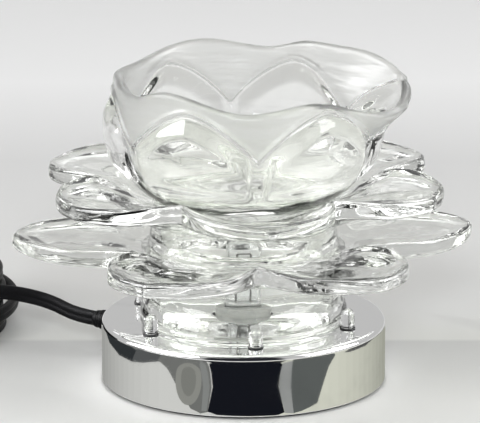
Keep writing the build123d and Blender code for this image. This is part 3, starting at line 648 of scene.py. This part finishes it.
# Lampholder. A glazed ceramic body on a steel strap under the top of the cup, with spring
# contacts of brass in its two bores, and the capsule lamp pushed in from above.
ceramic = plain("ceramic", (0.86, 0.86, 0.83), (0.94, 0.94, 0.92), 0.22, 0.0016, 0.00006, Coat_Weight=0.4)
contact_brass = metal("contact_brass", (0.66, 0.5, 0.24), (0.78, 0.62, 0.34), 0.25)
dress("lamp_holder", ceramic)
dress("holder_contacts", contact_brass)


def quartz_finish():
    """Fused quartz: clear, with faint draw lines and a haze of handling."""
    material, flow, shader = new_finish("quartz", IOR=1.46, Transmission_Weight=1.0)
    lines = cloud(flow, place_on(flow, (1, 1, 0.05)), 0.0008, 2.0)
    feed(
        flow, shader,
        Base_Color=tint(flow, lines, (1, 1, 1), (0.96, 0.97, 0.98)),
        Roughness=0.01 + 0.03 * lines,
        Normal=relief(flow, lines, 0.00003, 0.4),
    )
    return material


dress("bulb_capsule", quartz_finish())
dress("bulb_pins", metal("pin_metal", (0.55, 0.54, 0.52), (0.72, 0.71, 0.69), 0.22))
dress("bulb_filament", metal("tungsten", (0.2, 0.19, 0.18), (0.34, 0.33, 0.32), 0.4, 0.0003))


# Touch dimmer and wiring. A small open case with its board and lid is taped to the plate;
# silicone and plastic covered leads, two crimp caps and a ring terminal join it up.
case_finish = plain("module_case", (0.03, 0.031, 0.034), (0.055, 0.056, 0.06), 0.45)
dress("touch_module_case", case_finish)
dress("touch_module_lid", case_finish)
dress("module_tape", plain("foam_tape", (0.6, 0.6, 0.57), (0.74, 0.74, 0.7), 0.85, 0.0005))
dress("touch_board", plain("board_green", (0.02, 0.12, 0.05), (0.04, 0.19, 0.08), 0.35, 0.0006))
chip_finish = plain("chip_black", (0.015, 0.015, 0.017), (0.035, 0.035, 0.037), 0.5, 0.0004)
dress("board_triac", chip_finish)
dress("board_chip", chip_finish)
dress("board_capacitor", plain("capacitor_yellow", (0.62, 0.42, 0.05), (0.75, 0.55, 0.1), 0.3))
dress("crimp_caps", plain("crimp_grey", (0.3, 0.31, 0.32), (0.42, 0.43, 0.44), 0.35))
white_lead = plain("lead_white", (0.72, 0.71, 0.67), (0.84, 0.83, 0.8), 0.45, 0.0005)
black_lead = plain("lead_black", (0.018, 0.018, 0.02), (0.04, 0.04, 0.042), 0.4, 0.0005)
dress("holder_lead_neutral", white_lead)
dress("holder_lead_load", white_lead)
dress("supply_neutral", white_lead)
dress("supply_line", black_lead)
dress("module_load_lead", black_lead)
dress("sense_wire", plain("lead_yellow", (0.68, 0.55, 0.06), (0.8, 0.68, 0.12), 0.4, 0.0005))
dress("ring_terminal", metal("contact_tinned", (0.6, 0.6, 0.6), (0.76, 0.76, 0.76), 0.28))
nickel = metal("blade_nickel", (0.62, 0.6, 0.55), (0.78, 0.76, 0.71), 0.2, 0.0008, 0.00002, (1, 1, 6))
dress("plug_blades", nickel)


# Glass foot. A thick ring at the bottom of the pressed flowers, fire polished and drawn in
# a little at its middle. It stands on the chrome inside the pegs.
def glass_finish(name, ripple, ripple_size):
    """Pressed soda glass: clear, with the slow ripple and small marks of the mould."""
    material, flow, shader = new_finish(name, IOR=1.5, Transmission_Weight=1.0)
    spot = place_on(flow)
    slow = cloud(flow, spot, ripple_size, 1.5, 0.25, 0.75)
    marks = cloud(flow, spot, ripple_size * 0.22, 2.0, 0.45, 0.8)
    feed(
        flow, shader,
        Base_Color=tint(flow, slow, (0.99, 1.0, 0.98), (0.965, 0.98, 0.95)),
        Roughness=0.01 * marks,
        Normal=relief(flow, slow + marks * 0.03, ripple, 0.6),
    )
    return material


foot_glass = glass_finish("foot_glass", 0.0005, 0.016)
foot_top = 47.0
foot_line = [(35.4, foot_top), (36.2, 46.0), (36.0, 42), (34.8, 36), (35.2, 30), (35.6, 27.5)]
foot_line += arc_line(37.0, 26.9, 1.7, 180, 270, 6) + arc_line(38.2, 27.0, 1.8, 270, 360, 6)
foot_line += [
    (39.9, 29.5), (39.2, 31.5), (38.0, 33.0), (37.6, 36), (38.1, 40), (39.3, 44.0), (39.8, 45.8),
    (39.8, foot_top),
]
add_piece(
    "foot_ring", spun("foot_ring", foot_line, foot_glass, 192, 60), "flower", "pressed_glass", "glass_foot"
)


# Lower flower. Six broad petals pressed in one piece of thick clear glass, nearly flat,
# with rounded edges that turn up a little on both sides of each petal.
petal_step = 60
half_petal = petal_step / 2
flower_steps = 360
cup_start = 36
cup_end = 64
underside_cup_share = 0.8
edge_steps = 10
hole_round = 1.4


def petal_edge(lean, reach, notch, side, side_lean):
    """Radius of a petal's outline at an angle from its middle: an arc through three points."""
    lean = abs(lean)
    a = (notch * cos(radians(half_petal)), notch * sin(radians(half_petal)))
    b = (side * cos(radians(side_lean)), side * sin(radians(side_lean)))
    c = (reach, 0.0)
    turn_ab = (b[0] - a[0], b[1] - a[1])
    turn_ac = (c[0] - a[0], c[1] - a[1])
    spread = 2 * (turn_ab[0] * turn_ac[1] - turn_ab[1] * turn_ac[0])
    square_b = turn_ab[0] ** 2 + turn_ab[1] ** 2
    square_c = turn_ac[0] ** 2 + turn_ac[1] ** 2
    centre = (
        a[0] + (turn_ac[1] * square_b - turn_ab[1] * square_c) / spread,
        a[1] + (turn_ab[0] * square_c - turn_ac[0] * square_b) / spread,
    )
    round_radius = hypot(centre[0] - c[0], centre[1] - c[1])
    way = (cos(radians(lean)), sin(radians(lean)))
    along = way[0] * centre[0] + way[1] * centre[1]
    return along + sqrt(max(along**2 - centre[0] ** 2 - centre[1] ** 2 + round_radius**2, 0))


def smooth(low, high, value):
    share = min(max((value - low) / (high - low), 0), 1)
    return share * share * (3 - 2 * share)


def level(stations, reach):
    """Height at a radius, through stations of radius and height, eased a third of the way."""
    for (near, low), (far, high) in zip(stations, stations[1:]):
        if reach <= far:
            share = min(max((reach - near) / (far - near), 0), 1)
            return low + (high - low) * (0.35 * smooth(0, 1, share) + 0.65 * share)
    return stations[-1][1]


def cup_share(lean, reach):
    """How far the cupping of a petal has risen: most at its sides, none near the middle."""
    return (abs(lean) / half_petal) ** 1.6 * smooth(cup_start, cup_end, reach)


def flower(name, outline, first_tip, hole, over, under, cup, edge, ripple, material):
    """Flower of six petals as one closed shell: over and under are heights by radius."""
    shares = (0, 0.04, 0.12, 0.22, 0.32, 0.42, 0.52, 0.61, 0.69, 0.76, 0.82, 0.87, 0.91, 0.945, 0.97)
    columns = []
    for k in range(flower_steps):
        angle = 360 * k / flower_steps
        lean = (angle - first_tip + half_petal) % petal_step - half_petal
        rim = petal_edge(lean, *outline)

        def top_at(reach, rim=rim, lean=lean):
            lip = smooth(rim - 11.0, rim - 3.5, reach) * smooth(hole + 12, hole + 30, reach)
            rib = ripple * cos(radians(lean * 18)) * smooth(44, 58, reach)
            rib *= 1 - smooth(rim - 8, rim - 4, reach)
            return level(over, reach) + cup * cup_share(lean, reach) + lip + rib

        def low_at(reach, lean=lean):
            return level(under, reach) + underside_cup_share * cup * cup_share(lean, reach)

        inner = hole + 1.2
        grain = 0.1 * sin(radians(angle * 29)) + 0.06 * sin(radians(angle * 53 + 40))
        outer = rim - edge + grain
        reaches = [inner + (outer - inner) * share for share in shares]
        column = [(reach, top_at(reach)) for reach in reaches]
        middle = (top_at(outer) + low_at(outer)) / 2
        half = (top_at(outer) - low_at(outer)) / 2
        for step in range(edge_steps + 1):
            lean_out = radians(90 - 180 * step / edge_steps)
            bulge = max(cos(lean_out), 0) ** 0.5
            drop = copysign(abs(sin(lean_out)) ** 0.7, sin(lean_out))
            column.append((outer + edge * bulge, middle + half * drop))
        column += [(reach, low_at(reach)) for reach in reversed(reaches)]
        hole_top = top_at(inner)
        hole_low = low_at(inner)
        column += [
            (hole + 0.3, hole_low + 0.5), (hole, hole_low + hole_round), (hole, hole_top - hole_round),
            (hole + 0.3, hole_top - 0.5),
        ]
        columns.append([turn(reach, height, angle) for reach, height in column])
    return skin(name, columns, material, loop=True, sharp=60)


petal_glass = glass_finish("petal_glass", 0.0007, 0.026)
lower_petals = flower(
    "lower_petals", (89.0, 50.0, 76.0, 18.0), front + 30, 24.0,
    [(24, 55.0), (40, 55.0), (52, 56.6), (70, 57.4), (84, 59.0), (90, 59.6)],
    [(24, 47.02), (40, 47.02), (50, 50.4), (70, 52.4), (90, 54.9)],
    2.4, 2.6, 0.25, petal_glass,
)
add_piece("lower_flower", lower_petals, "flower", "pressed_glass", "petals_lower")


# Upper flower. Six more petals, turned half a petal, cupped on both sides and dished in
# the middle to take the bowl. A ring under it joins it to the lower flower.
upper_petals = flower(
    "upper_petals", (79.5, 56.5, 73.5, 18.0), front, 14.0,
    [(14, 70.0), (30, 70.0), (44, 74.4), (57, 77.4), (70, 79.0), (80, 80.6), (84, 81.2)],
    [(14, 65.0), (37, 65.0), (57, 72.2), (70, 74.0), (84, 76.4)],
    5.2, 2.7, 0.3, petal_glass,
)
add_piece("upper_flower", upper_petals, "flower", "pressed_glass", "petals_upper")
neck_line = [
    (31.4, 65.6), (31.2, 62), (31.6, 58), (31.3, 55.05), (36.8, 55.05), (36.2, 58), (36.0, 62),
    (36.8, 65.6),
]
add_piece("flower_neck", spun("flower_neck", neck_line, foot_glass, 160, 60), "flower", "pressed_glass")


# Wax dish. A thick pressed bowl with six raised petals round its wall and a waved rim,
# etched satin from the rim down to the tops of the petals. One lobe of the rim leans out
# to the right. It only rests in the upper flower and lifts off.
def dish_finish():
    material, flow, shader = new_finish("dish_glass", IOR=1.5, Transmission_Weight=1.0)
    spot = place_on(flow)
    slow = cloud(flow, spot, 0.026, 1.0, 0.2, 0.8)
    marks = cloud(flow, spot, 0.003, 2.0, 0.45, 0.8)
    etch = flow.node("ShaderNodeAttribute", {"attribute_name": "etched"}, out="Fac")
    drawn = cloud(flow, place_on(flow, (1, 1, 5)), 0.022, 2.0, 0.3, 0.7)
    satin = etch * (0.7 + 0.3 * drawn)
    feed(
        flow, shader,
        Base_Color=tint(flow, satin, (0.975, 0.98, 0.965), (0.955, 0.962, 0.94)),
        Roughness=0.004 + 0.012 * marks + satin * 0.46,
        Normal=relief(flow, slow + etch * drawn * 0.9, 0.0006, 0.6),
    )
    return material


dish_wall = 4.0
dish_low_radius = 42.0
dish_low_z = 79.0
dish_belly_radius = 51.5
dish_belly_z = 99.0
dish_steps = 480
wall_steps = 41
inner_wall_steps = 21
rim_half = 2.0
rim_round = 1.6
rim_lean = 1.1
arch_top = 116.5
arch_fall = 17.5
relief_start = 80
relief_full = 88
relief_side = 0.9
relief_middle = 1.7
bead_out = 0.8
crease_lean = 28.4
flare_start = 97
inner_etch = 0.9
lobe_turn = -4
lobe_centre = 34
lobe_depth = 30.3
lobe_half_width = 33.0
wall_reach = 52.9
lobe_blend = 3
far_pull = 3.0


def three_point(a, b, c, count):
    """Points of the arc through three points of the profile plane, from a to c."""
    d = 2 * (a[0] * (b[1] - c[1]) + b[0] * (c[1] - a[1]) + c[0] * (a[1] - b[1]))
    squares = [p[0] ** 2 + p[1] ** 2 for p in (a, b, c)]
    x = (squares[0] * (b[1] - c[1]) + squares[1] * (c[1] - a[1]) + squares[2] * (a[1] - b[1])) / d
    y = (squares[0] * (c[0] - b[0]) + squares[1] * (a[0] - c[0]) + squares[2] * (b[0] - a[0])) / d
    size = hypot(a[0] - x, a[1] - y)
    first, middle, last = (degrees(atan2(p[1] - y, p[0] - x)) for p in (a, b, c))
    middle = first + (middle - first + 180) % 360 - 180
    last = middle + (last - middle + 180) % 360 - 180
    return arc_line(x, y, size, first, last, count)


def arch_height(lean):
    """Top of a raised petal at an angle from its middle: a valley on either side of it."""
    return arch_top - arch_fall * (abs(lean) / half_petal) ** 1.6


def around(stations, angle):
    """Value at an angle round the axis, eased from one station to the next."""
    angle = (angle + 180) % 360 - 180
    for (near, low), (far, high) in zip(stations, stations[1:]):
        if angle <= far:
            return low + (high - low) * smooth(near, far, angle)
    return stations[-1][1]


rim_stations = [
    (-180, 121.4), (-154, 118.2), (-130, 123.0), (-94, 116.6), (-66, 119.2), (-27, 111.0), (34, 124.3),
    (53, 124.3), (73, 120.8), (104, 124.3), (143, 119.6), (180, 121.4),
]


def lobe(angle):
    """Outward lean of the rim: an oval lobe on the right, a slight pull in opposite it."""
    off = radians(angle - lobe_turn)
    square = (cos(off) / lobe_depth) ** 2 + (sin(off) / lobe_half_width) ** 2
    linear = -lobe_centre * cos(off) / lobe_depth**2
    meets = linear**2 - square * ((lobe_centre / lobe_depth) ** 2 - 1)
    past = -wall_reach
    if meets > 0 and cos(off) > 0:
        past += (sqrt(meets) - linear) / square
    other = (angle - lobe_turn) % 360 - 180
    pull = far_pull * max(cos(radians(min(abs(other) * 1.6, 90))), 0)
    return (past + hypot(past, lobe_blend)) / 2 - pull


def flare(angle, rim_z, height):
    """Outward lean of the wall below the rim."""
    return lobe(angle) * smooth(flare_start, rim_z, height) ** 1.3


def petal_relief(lean, height):
    """How far a raised petal stands out of the wall, with the bead along its top."""
    above = height - arch_height(lean)
    across = 1 - (abs(lean) / half_petal) ** 2.4
    crease = smooth(0.4, 3.6, crease_lean - abs(lean)) if height > relief_start else 1
    pillow = smooth(relief_start, relief_full, height) * smooth(-0.3, 10.5, -above)
    swell = pillow * (relief_side + relief_middle * across) * crease
    return swell + bead_out * exp(-((above - 0.4) ** 2))


def etch_share(lean, height):
    """Satin above the raised petals, clear below their tops."""
    return smooth(-1.2, 1.2, height - arch_height(lean))


wall_in = dish_wall / sqrt(2)
dish_outer = three_point(
    (25.0, 70.2), (dish_low_radius, dish_low_z), (dish_belly_radius, dish_belly_z), 22
)
dish_inner = three_point(
    (dish_belly_radius - dish_wall, dish_belly_z), (dish_low_radius - wall_in, dish_low_z + wall_in),
    (21.0, 75.4), 18,
)
dish_columns = []
dish_etch = []
for k in range(dish_steps):
    angle = 360 * k / dish_steps
    lean = (angle - front) % petal_step - half_petal
    rim_z = around(rim_stations, angle)
    crest_z = rim_z - rim_round
    column = [(0.0, 71.1), (9.4, 71.1), (10.2, 70.9), (11.2, 70.3), (12.0, 70.2), (22.0, 70.2)]
    column += dish_outer
    for step in range(1, wall_steps):
        share = step / wall_steps
        height = dish_belly_z + (crest_z - dish_belly_z) * share
        column.append((dish_belly_radius + rim_lean * share, height))
    shaped = [
        (reach + petal_relief(lean, height) + flare(angle, rim_z, height), height) for reach, height in column
    ]
    etched = [etch_share(lean, height) for _, height in column]
    crest = shaped[-1][0] - rim_half
    for rise in range(20, 161, 20):
        shaped.append((crest + rim_half * cos(radians(rise)), crest_z + rim_round * sin(radians(rise))))
        etched.append(1.0)
    for step in range(1, inner_wall_steps):
        share = step / inner_wall_steps
        height = crest_z + (dish_belly_z - crest_z) * share
        reach = dish_belly_radius - dish_wall + rim_lean * (1 - share)
        shaped.append((reach + flare(angle, rim_z, height), height))
        etched.append(etch_share(lean, height) * inner_etch)
    for reach, height in dish_inner:
        shaped.append((reach, height))
        etched.append(0.0)
    shaped += [(12.0, 75.3), (0.0, 75.2)]
    etched += [0.0, 0.0]
    dish_columns.append([turn(reach, height, angle) for reach, height in shaped])
    dish_etch.append(etched)


def open_skin(name, columns, values, attribute, material):
    """Closed shell of upright columns that all start and end on the axis."""
    shape = bmesh.new()
    layer = shape.verts.layers.float.new(attribute)
    rows = []
    for column, marks in zip(columns, values):
        row = []
        for spot, mark in zip(column, marks):
            vert = shape.verts.new(Vector(spot) * mm)
            vert[layer] = mark
            row.append(vert)
        rows.append(row)
    for index, row in enumerate(rows):
        after = rows[(index + 1) % len(rows)]
        for low in range(len(row) - 1):
            shape.faces.new((row[low], after[low], after[low + 1], row[low + 1]))
    bmesh.ops.remove_doubles(shape, verts=shape.verts, dist=1e-7)
    bmesh.ops.dissolve_degenerate(shape, edges=shape.edges, dist=1e-8)
    bmesh.ops.recalc_face_normals(shape, faces=shape.faces)
    data = bpy.data.meshes.new(name)
    shape.to_mesh(data)
    shape.free()
    data.shade_smooth()
    data.materials.append(material)
    return data


add_piece(
    "melt_dish", open_skin("melt_dish", dish_columns, dish_etch, "etched", dish_finish()),
    "dish", "dish_glass", "wax_dish",
)


# Studio. One level white sheet, toned as a table and, past its rear edge, as a pale wall; its
# tones hold painted shade that darkens to a line at the rear edge and painted light that
# brightens up the wall part. Soft lamps on both sides, above and in front; flat glowing cards on
# the table that only the chrome shows, as painted reflections in the wall of the base; and upright
# glowing screens that only the chrome and the glass show.
def table_finish():
    material, flow, shader = new_finish("table_white", Roughness=0.75)
    spot = flow.node("ShaderNodeTexCoord", out="Object")
    depth = flow.node(
        "ShaderNodeVectorMath", {"operation": "DOT_PRODUCT"}, {0: spot, 1: tuple(-camera_back)}, out="Value"
    )
    # Painted shade and light by depth: darker from the front to a dark line at the rear edge behind the
    # warmer, then brighter with distance over the wall part.
    tones_and_painted_shade = [
        (0.05, (0.63, 0.63, 0.62)), (0.1, (0.6, 0.6, 0.59)), (0.1485, (0.49, 0.49, 0.485)),
        (0.1515, (0.6, 0.6, 0.58)), (0.2, (0.61, 0.61, 0.6)), (0.45, (0.65, 0.65, 0.65)),
        (0.62, (0.9, 0.9, 0.905)),
    ]
    ramp_start = 0.1
    colour = flow.node("ShaderNodeValToRGB", {"stops": tones_and_painted_shade}, {"Fac": depth + ramp_start})
    paper = cloud(flow, spot, 0.002, 3.0)
    feed(flow, shader, Base_Color=colour, Normal=relief(flow, paper, 0.00002, 0.3))
    return material


screen_through_glass = (2.1, 2.1, 2.1)


def card(name, corners, tone, through=False):
    """Flat card, an outline of points in millimetres, for reflections and, if so set, glass."""
    data = bpy.data.meshes.new(name)
    corners = [corner * mm for corner in corners]
    data.from_pydata(corners, [], tessellate_polygon([corners]))
    material = bpy.data.materials.new(name)
    material.use_nodes = True
    tree = material.node_tree
    tree.nodes.clear()
    flow = Flow(tree)
    refracted = flow.node("ShaderNodeLightPath", out="Is Transmission Ray")
    seen_tone = tint(flow, refracted, tone, screen_through_glass)
    glow = flow.node("ShaderNodeEmission", sockets={"Color": seen_tone})
    out = tree.nodes.new("ShaderNodeOutputMaterial")
    tree.links.new(glow.socket, out.inputs[0])
    data.materials.append(material)
    piece = bpy.data.objects.new(name, data)
    bpy.context.scene.collection.objects.link(piece)
    piece.visible_camera = False
    piece.visible_diffuse = False
    piece.visible_transmission = through
    piece.visible_shadow = False


table_half = 3
table_corners = [
    (side * table_half, depth * table_half, 0) for side, depth in ((-1, -1), (1, -1), (1, 1), (-1, 1))
]
table_data = bpy.data.meshes.new("table")
table_data.from_pydata(table_corners, [], [(0, 1, 2, 3)])
table_data.materials.append(table_finish())
table = bpy.data.objects.new("table", table_data)
bpy.context.scene.collection.objects.link(table)

look_down = (camera_height - aim_height) / camera_distance
base_middle_x = 243.5
base_half_x = 143.5
hem_y = 377.2
hem_bow_y = 40.2
base_scale = 2.47


def on_table(x, y):
    """Where the table is that the wall of the base shows at a place of the picture."""
    lean = asin(max(min((x - base_middle_x) / base_half_x, 0.999), -0.999))
    height = max((hem_y + hem_bow_y * cos(lean) - y) / base_scale, 0.3)
    far = height / look_down
    right = base_radius * sin(lean) + far * sin(2 * lean)
    ahead = base_radius * cos(lean) + far * cos(2 * lean)
    spot = camera_right * right + camera_back * ahead
    return spot.x, spot.y


def wall_card(name, outline, height, tone):
    """Glowing card on the table, a painted reflection that the wall of the base shows with this outline in
    the picture.
    """
    spots = []
    for (x0, y0), (x1, y1) in zip(outline, outline[1:] + outline[:1]):
        count = max(int(hypot(x1 - x0, y1 - y0) / 3), 1)
        spots += [on_table(x0 + (x1 - x0) * k / count, y0 + (y1 - y0) * k / count) for k in range(count)]
    card(name, [Vector((x, y, height)) for x, y in spots], tone)


# Painted reflections: glowing cards seen only in the chrome, which paint dark and grey shapes and painted
# shade into the wall of the base.
wall_card(
    "painted_dark_reflection",
    [(199, 354), (212, 362), (209.5, 364.5), (213, 391), (208, 412), (217, 415), (249, 416.6), (275, 415.8),
     (284, 412.7), (278.3, 391), (282, 365), (280, 361.7), (292, 354)],
    0.6, (0.008, 0.009, 0.013),
)
wall_card(
    "painted_grey_reflection",
    [(293, 352), (333, 352), (334.4, 356), (316.5, 403.4), (301, 411), (293, 413), (290.5, 391), (292, 362)],
    0.4, (0.11, 0.12, 0.115),
)
wall_card(
    "grey_strip", [(282, 362), (293, 358), (291, 391), (294, 413), (284.5, 413), (278.5, 391)],
    0.3, (0.32, 0.33, 0.32),
)
wall_card(
    "left_shade",
    [(104, 331), (109, 348), (119, 361), (132, 367.4), (143.6, 368.7), (160, 365), (169, 376), (179.5, 393),
     (191, 408), (201, 413.3), (208, 412), (212, 391), (209, 366), (205, 352), (161, 348), (124, 336)],
    0.3, (0.17, 0.175, 0.165),
)
wall_card(
    "left_middle", [(137, 350), (132, 367.4), (143.6, 368.7), (158, 365), (163, 349), (150, 346)],
    0.35, (0.095, 0.1, 0.1),
)
wall_card(
    "left_streak", [(201, 356), (200, 366), (203.5, 391), (202, 411), (207, 411), (210, 391), (206, 366)],
    0.45, (0.24, 0.25, 0.24),
)
wall_card(
    "left_dark", [(104, 331), (109, 348), (119, 361), (132, 367.4), (137, 352), (124, 338)],
    0.4, (0.03, 0.034, 0.036),
)
# Painted reflections of two pale ovals in the wall of the base, one inside the other.
oval_x = 189
oval_y = 385
for name, wide, tall, lift, tone in (
    ("left_oval", 13, 21, 0.5, (0.27, 0.275, 0.25)), ("left_oval_middle", 7.5, 14, 0.7, (0.21, 0.215, 0.195)),
):
    oval = [(oval_x + wide * sin(radians(a)), oval_y + tall * cos(radians(a))) for a in range(0, 360, 15)]
    wall_card(name, oval, lift, tone)
# Painted reflection of the table in the wall of the base, as bands that are painted darker towards its sides
# as shade.
band_starts = (0, 84, 94, 102, 109, 115, 120, 125, 129, 133, 136.5, 139.5)
for side, tone in ((-1, (0.64, 0.645, 0.615)), (1, (0.67, 0.68, 0.58))):
    for band, near in enumerate(band_starts):
        edge = [
            (base_middle_x + side * x, y) for x, y in ((near, 330), (143, 330), (143, 418), (near, 418))
        ]
        dim = 1 - 0.45 * (band / (len(band_starts) - 1)) ** 1.3
        band_tone = tuple(part * dim for part in tone)
        wall_card(f"table_band_{side + 1}_{band}", edge, 0.05 + band * 0.015, band_tone)
# Painted reflection of shade in the right of the wall of the base.
wall_card(
    "right_shade", [(343, 353.9), (350, 354), (365, 349), (371.6, 342.6), (385, 326), (386, 319), (367, 334)],
    0.4, (0.1, 0.1, 0.1),
)


def soft_screen(name, first, last, low, high, tone, distance=900):
    """Upright glowing screen between two angles round the camera's line of sight."""
    near, far = (heading(angle - camera_turn) * distance for angle in (first, last))
    card(name, [near + up * low, far + up * low, far + up * high, near + up * high], tone, True)


soft_screen("left_screen", -140, -196, 230, 1250, (11.0, 11.0, 11.1))
soft_screen("right_screen", -38, 14, 230, 1000, (7.0, 7.0, 7.0))
soft_screen("back_screen", 55, 125, 700, 1900, (1.1, 1.1, 1.1), 1500)


lamp_aim = Vector((0, 0, 50))
warm = (1, 0.985, 0.95)
cool = (0.94, 0.975, 1)


def lamp(name, place, size, power, tone=(1, 1, 1)):
    """Soft rectangular lamp turned towards the warmer, its place in millimetres."""
    data = bpy.data.lights.new(name, "AREA")
    data.shape = "RECTANGLE"
    data.size, data.size_y = size
    data.energy = power
    data.color = tone
    light = bpy.data.objects.new(name, data)
    light.location = Vector(place) * mm
    light.rotation_euler = (lamp_aim * mm - light.location).to_track_quat("-Z", "Y").to_euler()
    bpy.context.scene.collection.objects.link(light)
    light.visible_camera = False
    return light


lamp("left_lamp", (-900, -650, 700), (0.35, 0.35), 3.6, warm)
lamp("right_lamp", (950, -500, 650), (0.35, 0.35), 3.7, warm)
top_lamp = lamp("top_lamp", (0, 150, 1300), (1.0, 0.8), 3.0)
front_lamp = lamp("front_lamp", camera_back * 1300 + up * 580, (0.2, 0.14), 10.0, cool)
for light in (top_lamp, front_lamp):
    light.visible_glossy = False

world = bpy.data.worlds.new("room")
bpy.context.scene.world = world
world.use_nodes = True
room = Flow(world.node_tree)
room_back = world.node_tree.nodes["Background"]
room_tone = (0.55, 0.55, 0.545)
dark_tone = (0.02, 0.021, 0.025)
dark_seen_through_glass = 0.75
way = room.node("ShaderNodeTexCoord", out="Generated")
ahead = room.node(
    "ShaderNodeVectorMath", {"operation": "DOT_PRODUCT"}, {0: way, 1: tuple(camera_back)}, out="Value"
)
level_way = room.node("ShaderNodeVectorMath", {"operation": "MULTIPLY"}, {0: way, 1: (1, 1, 0)})
level_length = room.node("ShaderNodeVectorMath", {"operation": "LENGTH"}, {0: level_way}, out="Value")
dark_front = room.node(
    "ShaderNodeMapRange",
    {"interpolation_type": "SMOOTHSTEP"},
    {"Value": ahead / (level_length + 0.001), "From Min": 0.8, "From Max": 0.88},
)
mirrored = (
    room.node("ShaderNodeLightPath", out="Is Glossy Ray")
    + dark_seen_through_glass * room.node("ShaderNodeLightPath", out="Is Transmission Ray")
)
seen = tint(room, dark_front * mirrored, room_tone, dark_tone)
room.tree.links.new(seen.socket, room_back.inputs["Color"])
room_back.inputs["Strength"].default_value = 1.0

bpy.context.scene.cycles.max_bounces = 24
bpy.context.scene.cycles.transmission_bounces = 24
bpy.context.scene.cycles.glossy_bounces = 8
bpy.context.scene.view_settings.view_transform = "Standard"
